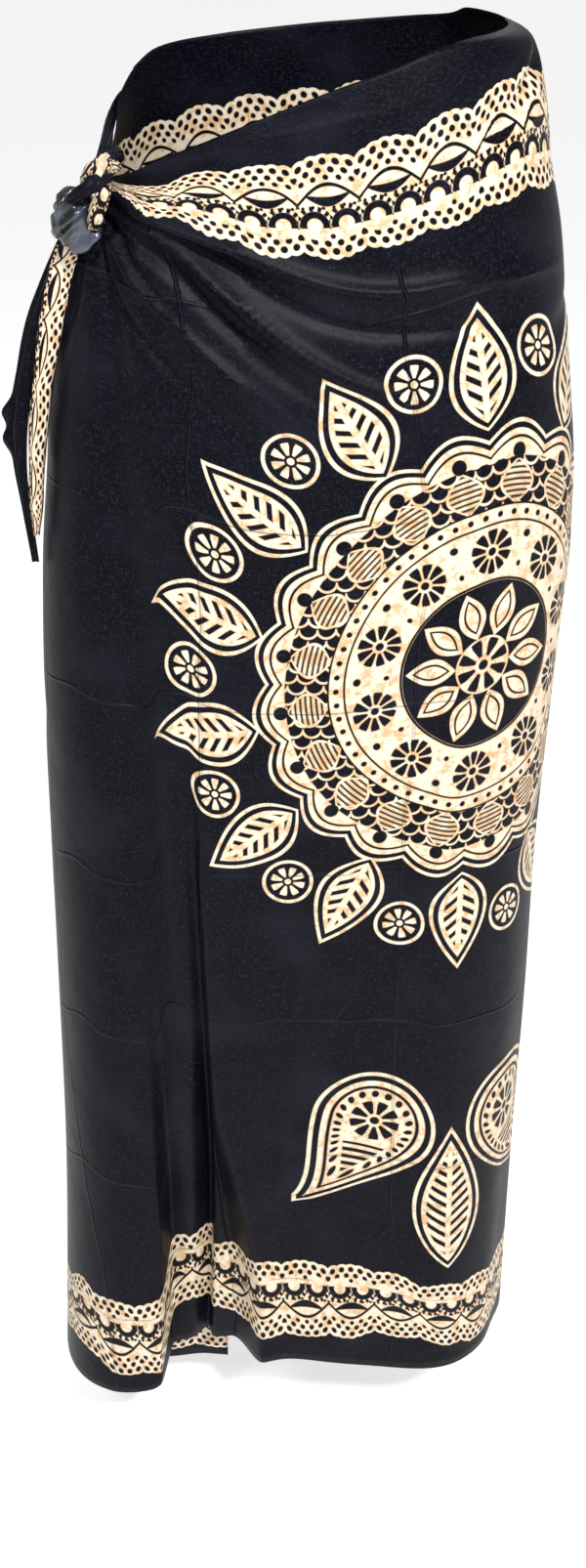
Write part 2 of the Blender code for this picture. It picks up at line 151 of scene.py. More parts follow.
FIGURE = table(
    "height centre half_width front back corner",
    (0.026, 0.016, 0.098, 0.084, 0.094, 2.3),
    (0.021, 0.016, 0.114, 0.09, 0.099, 2.3),
    (0.014, 0.0175, 0.1275, 0.096, 0.102, 2.3),
    (0.004, 0.019, 0.1315, 0.0985, 0.104, 2.3),
    (-0.023, 0.021, 0.1365, 0.101, 0.107, 2.3),
    (-0.057, 0.021, 0.1415, 0.103, 0.112, 2.3),
    (-0.1, 0.017, 0.155, 0.105, 0.119, 2.3),
    (-0.148, 0.015, 0.1635, 0.107, 0.125, 2.3),
    (-0.21, 0.014, 0.173, 0.109, 0.13, 2.3),
    (-0.26, 0.014, 0.1785, 0.11, 0.131, 2.3),
    (-0.323, 0.011, 0.1825, 0.11, 0.13, 2.3),
    (-0.43, 0.006, 0.1835, 0.11, 0.126, 2.3),
    (-0.554, 0.0025, 0.183, 0.108, 0.12, 2.3),
    (-0.69, 0.0015, 0.1845, 0.106, 0.115, 2.4),
    (-0.838, -0.0008, 0.1853, 0.104, 0.112, 2.6),
    (-1.004, -0.0048, 0.1893, 0.101, 0.109, 2.9),
    (-1.09, -0.0072, 0.192, 0.099, 0.108, 3),
)

# Lines that run round the cloth, as pairs of angle and height
TOP_EDGE = (
    (-112, -0.013), (-105, -0.021), (-96, -0.034), (-80, -0.056), (-64, -0.061), (-45, -0.043),
    (-25, -0.026), (0, -0.009), (20, 0.002), (33, 0.0105), (46, 0.0162), (60, 0.0183), (81, 0.0205),
    (106, 0.0212), (122, 0.0218), (133, 0.0168), (145, 0.0145), (162, 0.0116), (180, 0.0091),
    (199, 0.0059), (216, 0.0028), (238, -0.003), (248, -0.013),
)
HEM = (
    (-112, -1.046), (-85, -1.05), (-60, -1.051), (-49, -1.048), (-44, -1.03), (-34, -1.024),
    (-18, -1.019), (0, -1.014), (45, -1.018), (92, -1.024), (180, -1.03), (248, -1.046),
)
UNDERLAP_HEM = ((-112, -1.046), (-80, -1.05), (-55, -1.066), (-30, -1.072))

# Folds that hang down the cloth, each a crest or trough with a column of five at FOLD_HEIGHTS
FOLD_HEIGHTS = (-0.10, -0.35, -0.60, -0.85, -1.05)
HANGING_FOLDS = table(
    "name facing angles depths before after",
    ("side ridge", -62, (-72, -64, -60, -58, -57), (0, 0.005, 0.008, 0.012, 0.015),
     (12, 13, 14, 15, 16), (5, 7, 8, 8, 8)),
    ("inner ridge", -30, (-60, -44, -42, -40, -40), (0, 0.002, 0.005, 0.003, 0),
     (3, 5, 5, 4, 4), (4, 6, 5, 3, 3)),
    ("deep slit", -20, (-52, -39, -36, -35.5, -37), (0, 0, -0.009, -0.017, -0.014),
     (2, 2, 1.6, 1.6, 2), (2, 2, 2.2, 2.4, 2.6)),
    ("front ridge", -10, (-40, -28, -24, -16, -8), (0, 0, 0.002, 0.003, 0),
     (6, 8, 7, 7, 6), (6, 10, 10, 10, 8)),
    ("front hollow", 0, (4, 6, 6, 2, 0), (0, -0.001, -0.002, -0.004, -0.006),
     (14, 16, 18, 18, 18), (14, 16, 18, 20, 20)),
    ("front swell", 40, (46, 48, 50, 52, 54), (0, 0.001, 0.003, 0.007, 0.013),
     (14, 14, 14, 14, 14), (12, 12, 12, 12, 12)),
    ("left valley", 80, (86, 80, 78, 77, 76), (0, -0.001, -0.002, -0.004, -0.006),
     (6, 7, 7, 7, 7), (6, 7, 7, 7, 7)),
    ("left ridge", 104, (110, 106, 104, 104, 104), (0, 0.001, 0.003, 0.005, 0.006),
     (7, 8, 8, 8, 8), (7, 8, 8, 8, 8)),
    ("back valley one", 127, (128, 128, 127, 126, 126), (0, -0.002, -0.005, -0.009, -0.013),
     (6, 7, 8, 8, 8), (7, 8, 9, 9, 9)),
    ("back ridge one", 149, (150, 149, 148, 148, 147), (0, 0.002, 0.004, 0.007, 0.01),
     (7, 9, 9, 9, 9), (7, 8, 8, 8, 8)),
    ("back valley two", 172, (172, 172, 171, 170, 170), (-0.001, -0.003, -0.007, -0.012, -0.017),
     (6, 7, 8, 8, 8), (6, 8, 9, 9, 9)),
    ("back ridge two", 195, (196, 195, 194, 193, 193), (0, 0.001, 0.004, 0.007, 0.011),
     (7, 8, 9, 9, 9), (7, 8, 9, 9, 9)),
    ("back valley three", 216, (218, 216, 215, 214, 214), (0, -0.002, -0.005, -0.008, -0.011),
     (6, 7, 8, 8, 8), (6, 7, 8, 8, 8)),
)

# The recess beside the side ridge, a soft valley that becomes a deep pocket at the hem. It faces the front.
RECESS = table(
    "height start start_width end end_width depth",
    (-0.06, -66, 5, -58, 5, 0.001),
    (-0.12, -63.5, 6, -55, 7, 0.004),
    (-0.35, -55, 7, -46, 9, 0.0075),
    (-0.55, -50.5, 6, -42, 9, 0.009),
    (-0.75, -47.5, 4.5, -33, 10, 0.014),
    (-0.9, -46, 2.8, -20, 13, 0.029),
    (-1.05, -46, 2.4, -18, 16, 0.039),
)

# Folds that the pull of the knot fans out across the front. Heights are given at the angles of FAN_ANGLES.
FAN_ANGLES = (-64, -48, -30, -12, 6, 24, 42)
FAN_FOLDS = table(
    "name lift spread fade heights",
    ("margin ridge", 0.002, 0.007, 10, (-0.062, -0.048, -0.039, -0.032, -0.025, -0.018, -0.01)),
    ("border hollow", -0.0018, 0.01, 20, (-0.066, -0.066, -0.066, -0.066, -0.066, -0.062, -0.056)),
    ("upper ridge", 0.0062, 0.0085, 60, (-0.072, -0.084, -0.095, -0.108, -0.118, -0.121, -0.117)),
    ("upper hollow", -0.0052, 0.009, 44, (-0.076, -0.087, -0.107, -0.127, -0.141, -0.146, -0.145)),
    ("middle ridge", 0.0074, 0.0075, 22, (-0.08, -0.091, -0.12, -0.149, -0.17, -0.184, -0.19)),
    ("middle hollow", -0.006, 0.009, 4, (-0.086, -0.106, -0.141, -0.17, -0.192, -0.206, -0.216)),
    ("lower ridge", 0.0064, 0.008, -10, (-0.09, -0.129, -0.165, -0.197, -0.222, -0.24, -0.25)),
    ("lower hollow", -0.004, 0.012, -20, (-0.106, -0.16, -0.198, -0.232, -0.26, -0.28, -0.29)),
)

# Where the columns of the outer layer stand at the hem, closer together in the folds,
# as pairs of a column's share of them all and its angle
OUTER_COLUMNS = (
    (0, SIDE_EDGE_ANGLE), (0.07, -76), (0.15, -52), (0.27, -43.5), (0.38, -30), (0.46, -12),
    (0.68, LEFT_ANGLE), (1, BACK_END_ANGLE),
)


def stations(*rows):
    """Where the middle of a strand runs, and how thick and broad it is there."""
    return table("x y z thick broad", *rows)


KNOT_LUMP = stations(
    (-0.1251, -0.056, -0.0726, 0.018, 0.02),
    (-0.1298, -0.06, -0.0782, 0.027, 0.03),
    (-0.1319, -0.061, -0.0861, 0.031, 0.032),
    (-0.1327, -0.059, -0.0952, 0.028, 0.029),
    (-0.1331, -0.054, -0.1033, 0.018, 0.02),
)
KNOT_LOOP = stations(
    (-0.1145, -0.052, -0.062, 0.007, 0.008),
    (-0.1135, -0.059, -0.054, 0.009, 0.009),
    (-0.1095, -0.063, -0.0492, 0.01, 0.01),
    (-0.105, -0.06, -0.05, 0.009, 0.009),
    (-0.1025, -0.053, -0.057, 0.007, 0.007),
)
KNOT_STRAP = stations(
    (-0.1046, -0.046, -0.0617, 0.009, 0.008),
    (-0.1079, -0.06, -0.0559, 0.01, 0.011),
    (-0.1128, -0.069, -0.0539, 0.01, 0.0135),
    (-0.1177, -0.074, -0.0559, 0.01, 0.014),
    (-0.1224, -0.071, -0.0614, 0.009, 0.013),
    (-0.1274, -0.061, -0.0688, 0.008, 0.01),
)
KNOT_BAND = stations(
    (-0.1095, -0.064, -0.0609, 0.009, 0.007),
    (-0.1142, -0.077, -0.0609, 0.009, 0.0075),
    (-0.1207, -0.083, -0.0638, 0.009, 0.008),
    (-0.1299, -0.077, -0.0705, 0.009, 0.0085),
    (-0.1398, -0.062, -0.0795, 0.008, 0.007),
)
KNOT_STRIP = stations(
    (-0.1109, -0.07, -0.0633, 0.008, 0.007),
    (-0.1132, -0.078, -0.0669, 0.008, 0.0085),
    (-0.1164, -0.08, -0.0745, 0.009, 0.0095),
    (-0.1195, -0.0765, -0.0837, 0.009, 0.0095),
    (-0.1233, -0.068, -0.0934, 0.007, 0.006),
)
KNOT_END = stations(
    (-0.1241, -0.064, -0.0689, 0.006, 0.006),
    (-0.1294, -0.071, -0.0704, 0.007, 0.008),
    (-0.1352, -0.068, -0.0744, 0.007, 0.008),
    (-0.1409, -0.058, -0.0809, 0.006, 0.006),
)

# The strand that runs back round the waist, by its angle and how far out from the figure it lies
WAIST_STRAND = table(
    "angle out z thick broad",
    (-120, 0.0012, -0.023, 0.0014, 0.004),
    (-113, 0.0013, -0.026, 0.002, 0.006),
    (-106, 0.0012, -0.032, 0.0032, 0.009),
    (-98, -0.0002, -0.0405, 0.0052, 0.011),
    (-90, -0.0013, -0.0495, 0.007, 0.013),
    (-82, -0.001, -0.058, 0.0085, 0.015),
    (-74, 0.005, -0.067, 0.01, 0.014),
)

# Each strand: its stations, how many pleats run along it, how deep they and its crumples are,
# how much it twists, its finish, and which stretch of the print it shows, from the cloth's edge
STRANDS = table(
    "name stations pleats pleat_depth crumple twist finish edge_start edge_end",
    ("lump", KNOT_LUMP, 3, 0.14, 0.0009, 1.5, "knot_rayon", 0.02, 0.05),
    ("loop", KNOT_LOOP, 3, 0.1, 0.0004, 0.6, "printed_rayon", 0.02, 0.045),
    ("strap", KNOT_STRAP, 4, 0.1, 0.0004, 0.5, "printed_rayon", 0.064, 0.104),
    ("band", KNOT_BAND, 3, 0.1, 0.0003, 0.7, "printed_rayon", 0.02, 0.045),
    ("strip", KNOT_STRIP, 3, 0.12, 0.0003, 0.5, "printed_rayon", 0.064, 0.096),
    ("loose_end", KNOT_END, 3, 0.12, 0.0003, 0.5, "printed_rayon", 0.064, 0.092),
    ("waist_strand", WAIST_STRAND, 4, 0.12, 0.0003, 0.8, "printed_rayon", 0.02, 0.045),
)

# The tails hang below the knot: the middle of each, how broad it is and which way it faces
TAIL_FRONT = table(
    "x y z broad facing",
    (-0.1402, -0.0532, -0.1044, 0.0165, -50),
    (-0.1465, -0.051, -0.125, 0.0158, -46),
    (-0.1529, -0.05, -0.152, 0.0146, -42),
    (-0.1598, -0.049, -0.1844, 0.0132, -38),
    (-0.1659, -0.048, -0.217, 0.0122, -36),
    (-0.1694, -0.047, -0.2504, 0.0112, -34),
    (-0.1714, -0.0465, -0.2776, 0.009, -34),
    (-0.173, -0.046, -0.297, 0.003, -34),
)
TAIL_BACK = table(
    "x y z broad facing",
    (-0.1408, -0.0452, -0.099, 0.009, -78),
    (-0.1545, -0.034, -0.128, 0.018, -78),
    (-0.1667, -0.029, -0.158, 0.024, -76),
    (-0.1756, -0.027, -0.1903, 0.027, -74),
    (-0.1825, -0.026, -0.2234, 0.027, -72),
    (-0.1838, -0.027, -0.256, 0.024, -70),
    (-0.181, -0.03, -0.286, 0.017, -70),
    (-0.177, -0.035, -0.32, 0.005, -70),
)

# The edges of the lace-like print on the worn cloth, as pairs of angle and height
LACE_TOP_OUTER = (
    (-112, -0.04), (-80, -0.06), (-66, -0.0655), (-52, -0.064), (-43, -0.056), (-31, -0.051),
    (-20, -0.049), (-9, -0.0445), (3, -0.0415), (15, -0.035), (25, -0.03), (33, -0.024),
    (41, -0.018), (49, -0.011), (57, -0.0045), (65, -0.001), (92, -0.008), (130, -0.018),
    (180, -0.032), (216, -0.04), (248, -0.056),
)
LACE_TOP_INNER = (
    (-112, -0.05), (-80, -0.066), (-66, -0.068), (-50, -0.0785), (-42, -0.082), (-32, -0.0885),
    (-19, -0.0975), (1, -0.1005), (17, -0.096), (25, -0.0915), (34, -0.087), (45, -0.0795),
    (55, -0.072), (66, -0.069), (92, -0.074), (130, -0.083), (180, -0.096), (216, -0.104),
    (248, -0.12),
)
LACE_HEM_INNER = (
    (-112, -0.975), (-86, -0.97), (-74, -0.954), (-66, -0.94), (-60, -0.947), (-53, -0.949),
    (-47, -0.943), (-44.5, -0.904), (-38, -0.896), (-33, -0.906), (-25, -0.905), (-10, -0.8985),
    (12, -0.902), (29, -0.9045), (41, -0.914), (49, -0.927), (58, -0.931), (74, -0.94),
    (92, -0.934), (180, -0.93), (248, -0.948),
)
LACE_HEM_OUTER = (
    (-112, -1.03), (-86, -1.029), (-74, -1.018), (-65, -1.012), (-57, -1.028), (-47, -1.027),
    (-44.5, -0.988), (-39, -0.981), (-32, -0.989), (-16, -0.988), (2, -0.988), (25, -0.986),
    (38, -0.981), (48, -0.987), (61, -1.004), (74, -1.008), (92, -1), (180, -0.998),
    (248, -1.016),
)
UNDERLAP_LACE_TOP_OUTER = ((-112, -0.056), (-98, -0.064), (-80, -0.074))
UNDERLAP_LACE_TOP_INNER = ((-112, -0.12), (-98, -0.121), (-80, -0.12))
UNDERLAP_HEM_MARGIN = 0.007
UNDERLAP_LACE_WIDTH = 0.075

# Each tail: its stops, its node and slot, the stretch of the print it shows and how far that narrows,
# how many folds run down it, and where its edge is ruffled
TAILS = table(
    "name stops node slot edge_start edge_end margin waves ruffle_drop",
    ("front_tail", TAIL_FRONT, "tail_front", "border_rayon", 0.094, 0.061, 0.016, 0.75, None),
    ("back_tail", TAIL_BACK, "tail_back", "knot_rayon", 0.01, 0.046, 0, 1.7, 0.6),
)

# The camera, the floor and the lights
CAMERA_PLACE = (0, -1.18, 0.13)
CAMERA_TILT = 28.6
CAMERA_LENS = 40.8
FLOOR_SIZE = 80
FLOOR_HEIGHT = -1.125
FLOOR_COLOUR = (0.78, 0.78, 0.78, 1)
FLOOR_GLOW = 0.63
WHITE = (1.0, 1.0, 1.0, 1)
ROOM_LIGHT = 0.33
LIGHT_AIM = Vector((0, 0, -0.5))
LIGHTS = table(
    "name place size power",
    ("key_light", (0.8, -1.9, 1.5), 0.28, 85),
    ("side_light", (-1, -1.6, 1.5), 0.6, 26),
    ("back_light", (0.4, 2.2, 1.4), 1.6, 12),
)


def smooth(share):
    share = np.clip(share, 0.0, 1.0)
    return share * share * (3 - 2 * share)


def rise(value, start, width):
    """0 up to start, then a smooth rise to 1 over this width."""
    return smooth((value - start) / width)


def fall(value, end, width):
    """A smooth fall from 1 over this width, and 0 from its end on."""
    return smooth((end - value) / width)


def through(xs, ys, x):
    """A smooth curve through the points (xs, ys), which stays level past its ends."""
    xs = np.asarray(xs, float)
    ys = np.asarray(ys, float)
    x = np.asarray(x, float)
    last = len(xs) - 1
    low = np.maximum(np.arange(last + 1) - 1, 0)
    high = np.minimum(np.arange(last + 1) + 1, last)
    slopes = (ys[high] - ys[low]) / (xs[high] - xs[low])
    i = np.clip(np.searchsorted(xs, x, "right") - 1, 0, last - 1)
    width = xs[i + 1] - xs[i]
    t = np.clip((x - xs[i]) / width, 0.0, 1.0)
    return (
        ys[i] * (1 + 2 * t) * (1 - t) ** 2
        + ys[i + 1] * t * t * (3 - 2 * t)
        + slopes[i] * width * t * (1 - t) ** 2
        - slopes[i + 1] * width * t * t * (1 - t)
    )


def edge_height(line, angle):
    angles, heights = zip(*line)
    return through(angles, heights, angle)


def column_value(rows, height, column):
    """The value of a column of a table whose rows run down from the top."""
    upward = rows[::-1]
    return through([r.height for r in upward], [getattr(r, column) for r in upward], height)


def facing(angle):
    turn = np.radians(angle)
    return np.stack([np.sin(turn), -np.cos(turn), np.zeros_like(turn)], axis=-1)


def bell(distance, spread):
    return np.exp(-((distance / spread) ** 2))


def figure_point(angle, height, out=0.0):
    """The point of the general figure at this angle and height, moved straight out by so much."""
    way = facing(angle)
    depth = np.where(
        way[..., 1] < 0, column_value(FIGURE, height, "front"), column_value(FIGURE, height, "back")
    )
    corner = column_value(FIGURE, height, "corner")
    wide = (np.abs(way[..., 0]) / column_value(FIGURE, height, "half_width")) ** corner
    deep = (np.abs(way[..., 1]) / depth) ** corner
    reach = (wide + deep) ** (-1 / corner) + out
    spot = way * reach[..., None]
    spot[..., 0] += column_value(FIGURE, height, "centre")
    spot[..., 2] = height
    return spot


def hanging_shift(angle, height):
    """How the folds that hang down the cloth move it."""
    upward = FOLD_HEIGHTS[::-1]
    total = np.zeros(angle.shape + (3,))
    for fold in HANGING_FOLDS:
        offset = angle - through(upward, fold.angles[::-1], height)
        before = through(upward, fold.before[::-1], height)
        after = through(upward, fold.after[::-1], height)
        depth = through(upward, fold.depths[::-1], height)
        depth = depth * bell(offset, np.where(offset < 0, before, after))
        total += depth[..., None] * facing(np.full(angle.shape, float(fold.facing)))
    return total


def recess_shift(angle, height):
    start = column_value(RECESS, height, "start")
    start_width = column_value(RECESS, height, "start_width")
    end = column_value(RECESS, height, "end")
    end_width = column_value(RECESS, height, "end_width")
    opening = smooth((angle - start) / start_width + 0.5) * smooth((end - angle) / end_width + 0.5)
    shift = np.zeros(angle.shape + (3,))
    shift[..., 1] = column_value(RECESS, height, "depth") * opening
    return shift


def fan_lift(angle, height):
    """How far the folds that fan out of the knot move the cloth out."""
    total = np.zeros(angle.shape)
    for fold in FAN_FOLDS:
        middle = through(FAN_ANGLES, fold.heights, angle)
        reach = fall(angle, fold.fade + 25, 50) * rise(angle, -76, 14)
        opening = 0.35 + 0.65 * rise(angle, -66, 30)
        shape = 0.50 * bell(height - middle, fold.spread * opening)
        shape += 0.60 * bell(height - middle, fold.spread * opening * 0.36)
        total += fold.lift * reach * (0.5 + 0.5 * opening) * shape
    return total


def gather_lift(angle, height):
    """Pleats that run out of the knot in all directions below it, and fade within a hand's breadth."""
    across = (angle - PLEAT_ANGLE) * METRES_PER_DEGREE
    down = PLEAT_HEIGHT - height
    reach = np.hypot(across, down)
    turn = np.arctan2(across, np.maximum(down, -0.004))
    wave = np.sin(15 * turn + 0.6) + 0.6 * np.sin(27 * turn + 2.0 + 14 * reach)
    wave += 0.4 * np.sin(9 * turn + 1.0)
    near = rise(reach, 0.010, 0.022) * fall(reach, 0.150, 0.115)
    below = rise(down, -0.004, 0.012) * fall(turn, 1.75, 0.5) * rise(turn, -0.9, 0.5)
    return PLEAT_DEPTH * wave * near * below


# Slack in the cloth: shallow puckers that slant across it
PUCKERS = table(
    "angle height long wide slant lift",
    (61, -0.02, 26, 0.0045, 0.0016, -0.0032),
    (70, -0.006, 20, 0.0035, 0.001, -0.0024),
    (50, -0.01, 16, 0.0035, 0.0014, 0.002),
    (66, -0.029, 14, 0.0035, 0.002, 0.002),
    (44, -0.034, 15, 0.004, 0.0012, -0.0018),
    (78, -0.15, 16, 0.008, 0.0009, -0.0014),
    (70, -0.175, 18, 0.006, 0.001, 0.001),
    (-30, -0.3, 22, 0.02, -0.003, 0.0012),
    (-10, -0.38, 26, 0.02, -0.0024, -0.001),
    (10, -0.7, 30, 0.022, 0.001, 0.0012),
    (40, -0.86, 24, 0.018, -0.0008, -0.0012),
    (-14, -0.82, 18, 0.02, 0.0014, 0.0012),
    (100, -0.3, 20, 0.02, 0.0016, 0.0014),
    (150, -0.12, 30, 0.014, -0.001, -0.0018),
    (172, -0.18, 34, 0.016, 0.0008, 0.0018),
    (200, -0.14, 30, 0.014, 0.0014, -0.0016),
    (222, -0.21, 26, 0.016, 0.002, 0.0018),
    (236, -0.12, 18, 0.01, 0.0024, -0.0016),
    (-84, -0.21, 14, 0.018, -0.003, 0.0012),
    (-92, -0.42, 16, 0.02, -0.0024, -0.0012),
)


def pucker_lift(angle, height):
    total = np.zeros(angle.shape)
    for fold in PUCKERS:
        along = angle - fold.angle
        across = height - fold.height - fold.slant * along
        total += fold.lift * bell(along, fold.long) * bell(across, fold.wide)
    return total


def outer_point(angle, height):
    """The outer face of the cloth at this angle and height."""
    lifted = LAYER_GAP * fall(angle, -38, 16) + fan_lift(angle, height)
    lifted = lifted + pucker_lift(angle, height) + gather_lift(angle, height)
    return figure_point(angle, height, lifted) + hanging_shift(angle, height) + recess_shift(angle, height)


def fan_out(start, end, drop):
    """The angle, this far down, of a column that starts at one angle and hangs to another."""
    return start + (end - start) * (1 - (1 - np.minimum(1.0, drop / FAN_OUT_DROP)) ** 1.6)


def outer_columns(share):
    """Where each column of the outer layer starts at the top, and where it ends at the hem."""
    hem_angle = np.interp(share, *zip(*OUTER_COLUMNS))
    past_pocket = hem_angle - POCKET_ANGLE
    gathered = GATHER_ANGLE + past_pocket * 0.14
    spread = GATHER_ANGLE + past_pocket * (LEFT_ANGLE - GATHER_ANGLE) / (LEFT_ANGLE - POCKET_ANGLE)
    start = np.where(past_pocket < 0, gathered, np.where(hem_angle < LEFT_ANGLE, spread, hem_angle))
    return start, hem_angle


def outer_layer(share, drop):
    start, hem_angle = outer_columns(share)
    angle = fan_out(start, hem_angle, drop)
    top = edge_height(TOP_EDGE, start) - GATHER_DROP * fall(hem_angle, -42, 50)
    height = top + (edge_height(HEM, hem_angle) - top) * drop
    back = rise(angle, 84, 12)
    front_spot = outer_point(angle, height)
    back_lift = pucker_lift(angle, height)
    back_spot = figure_point(angle, height, back_lift) + hanging_shift(angle, height)
    return front_spot + (back_spot - front_spot) * back[..., None], angle, height


def underlap_layer(share, drop):
    start = SIDE_EDGE_ANGLE - SEAM_LAP
    end = fan_out(UNDERLAP_TOP_END, UNDERLAP_HEM_END, drop)
    angle = start + (end - start) * share
    top = edge_height(TOP_EDGE, angle) - 0.005 * smooth(share * 3)
    height = top + (edge_height(UNDERLAP_HEM, angle) - top) * drop
    tucked = 0.0008 + 0.0047 * rise(angle - start, 7, 14) + 0.006 * rise(angle, -86, 30)
    deeper = column_value(RECESS, height, "depth") * rise(angle, -84, 34)
    slit = 0.014 * fall(height, -0.45, 0.25) * rise(angle, -58, 20)
    spot = figure_point(angle, height, -tucked)
    spot[..., 1] += deeper + slit
    return spot, angle, height


def down_the_cloth(angle, height, hem, lace_outer, lace_inner, top_outer, top_inner):
    """How far below its top edge the flat cloth is, at this angle and height of the worn one."""
    top = edge_height(TOP_EDGE, angle)
    marks = [
        (hem, CLOTH_DROP),
        (lace_outer, CLOTH_DROP - PRINT_MARGIN),
        (lace_inner, CLOTH_DROP - PRINT_END),
        (edge_height(top_inner, angle), PRINT_END),
        (edge_height(top_outer, angle), PRINT_MARGIN),
        (top + 0.002, -0.002),
    ]
    down = np.full(angle.shape, CLOTH_DROP)
    for (low, low_down), (high, high_down) in zip(marks, marks[1:]):
        part = np.clip((height - low) / np.maximum(high - low, 1e-5), 0.0, 1.0)
        down = np.where(height > low, low_down + (high_down - low_down) * part, down)
    return down


def linked(name, data):
    """A new object in the scene."""
    thing = bpy.data.objects.new(name, data)
    bpy.context.scene.collection.objects.link(thing)
    return thing


def cloth_object(name, spots, charts, solid=False):
    """A sheet made from a grid of points, with its UV maps, and its wall unless it is solid."""
    rows, columns = spots.shape[:2]
    number = np.arange(rows * columns).reshape(rows, columns)
    corners = np.stack(
        [number[:-1, :-1], number[1:, :-1], number[1:, 1:], number[:-1, 1:]], axis=-1
    ).reshape(-1, 4)
    mesh = bpy.data.meshes.new(name)
    mesh.from_pydata(spots.reshape(-1, 3).tolist(), [], corners.tolist())
    loops = np.empty(len(mesh.loops), dtype=np.int32)
    mesh.loops.foreach_get("vertex_index", loops)
    for chart, values in charts.items():
        layer = mesh.uv_layers.new(name=chart)
        layer.data.foreach_set("uv", values.reshape(-1, 2)[loops].astype(np.float32).ravel())
    piece = linked(name, mesh)
    mesh.shade_smooth()
    if not solid:
        select_only(piece)
        shell = piece.modifiers.new("wall", "SOLIDIFY")
        shell.thickness = chosen().fabric_thickness
        shell.offset = -1
        bpy.ops.object.modifier_apply(modifier=shell.name)
    return piece


class Signal:
    """A value that varies over the cloth. Sums written with signals add Math nodes to their finish."""

    def __init__(self, recipe, socket):
        self.recipe = recipe
        self.socket = socket

    def __add__(self, other):
        return self.recipe.maths("ADD", self, other)

    __radd__ = __add__

    def __sub__(self, other):
        return self.recipe.maths("SUBTRACT", self, other)

    def __rsub__(self, other):
        return self.recipe.maths("SUBTRACT", other, self)

    def __mul__(self, other):
        return self.recipe.maths("MULTIPLY", self, other)

    __rmul__ = __mul__

    def __pow__(self, other):
        return self.recipe.maths("POWER", self, other)

    def __mod__(self, other):
        return self.recipe.maths("FLOORED_MODULO", self, other)

    def __lt__(self, other):
        return self.recipe.maths("LESS_THAN", self, other)

    def __gt__(self, other):
        return self.recipe.maths("GREATER_THAN", self, other)

    def __abs__(self):
        return self.recipe.maths("ABSOLUTE", self)

    def __neg__(self):
        return self.recipe.maths("MULTIPLY", self, -1.0)


class Recipe:
    """A finish and the nodes that make it."""

    def __init__(self, name):
        self.material = bpy.data.materials.new(name)
        self.material.use_nodes = True
        self.tree = self.material.node_tree
        self.tree.nodes.clear()

    def node(self, kind, sockets, output=0, **settings):
        """Adds a node, sets it up, fills its sockets with values or links, and gives back one output."""
        added = self.tree.nodes.new(kind)
        for name, setting in settings.items():
            setattr(added, name, setting)
        for name, value in sockets.items():
            if isinstance(value, Signal):
                self.tree.links.new(value.socket, added.inputs[name])
            else:
                added.inputs[name].default_value = value
        return Signal(self, added.outputs[output]) if added.outputs else None

    def surface(self, colour, roughness, normal, shine):
        sockets = {"Base Color": colour, "Roughness": roughness, "Normal": normal}
        return self.node("ShaderNodeBsdfPrincipled", {**sockets, "Specular IOR Level": shine})

    def finished(self, surface):
        self.node("ShaderNodeOutputMaterial", {"Surface": surface})
        return self.material

    def maths(self, operation, *values):
        return self.node("ShaderNodeMath", dict(enumerate(values)), operation=operation)

    def scaled(self, value, start, end, low=0.0, high=1.0, kind="LINEAR"):
        """The value carried over from one range to another, and kept within it."""
        sockets = {"Value": value, "From Min": start, "From Max": end, "To Min": low, "To Max": high}
        return self.node("ShaderNodeMapRange", sockets, interpolation_type=kind)

    def step(self, value, start, end):
        """0 before start and 1 after end, with a smooth rise between."""
        return self.scaled(value, start, end, kind="SMOOTHSTEP")

    def blend(self, share, first, second):
        return self.node("ShaderNodeMix", {0: share, 6: first, 7: second}, output=2, data_type="RGBA")

    def mixed(self, share, first, second):
        return self.node("ShaderNodeMixShader", {0: share, 1: first, 2: second})

    def most(self, *values):
        return reduce(lambda found, value: self.maths("MAXIMUM", found, value), values)

    def least(self, *values):
        return reduce(lambda found, value: self.maths("MINIMUM", found, value), values)

    def sine(self, value):
        return self.maths("SINE", value)

    def cosine(self, value):
        return self.maths("COSINE", value)

    def length(self, x, y):
        return self.maths("SQRT", self.maths("MULTIPLY_ADD", x, x, y * y))

    def turn(self, x, y):
        """The direction of a point, in whole turns from -0.5 to 0.5."""
        return self.maths("ARCTAN2", y, x) * (1 / FULL_TURN)

    def chart(self, name):
        """The two coordinates of a UV map, and both as one place."""
        place = self.node("ShaderNodeUVMap", {}, uv_map=name)
        split = self.node("ShaderNodeSeparateXYZ", {0: place}).socket.node
        return Signal(self, split.outputs[0]), Signal(self, split.outputs[1]), place

    def noise(self, place, scale, detail, roughness=0.5):
        sockets = {"Vector": place, "Scale": scale, "Detail": detail, "Roughness": roughness}
        return self.node("ShaderNodeTexNoise", sockets)

    def streaks(self, place, scales, detail):
        """Noise that is stretched along the cloth or down it."""
        stretched = self.node("ShaderNodeVectorMath", {0: place, 1: scales}, operation="MULTIPLY")
        return self.noise(stretched, 1.0, detail)

    def bump(self, height):
        return self.node("ShaderNodeBump", {"Strength": 1.0, "Distance": 1.0, "Height": height})


# Forms of the print are signed distances, negative inside, in metres on the flat cloth


def inside(recipe, distance, soft=0.00035):
    return recipe.step(distance, soft, -soft)


def cell(value):
    """Where a value is in its own repeat of 1, from -0.5 to 0.5."""
    return value % 1.0 - 0.5


def band(value, middle, half_width):
    return abs(value - middle) - half_width


def ring_across(turn, count, radius):
    """How far a point of a ring is from the middle of the nearest of its repeats."""
    return cell(turn * count) * (FULL_TURN * radius / count)


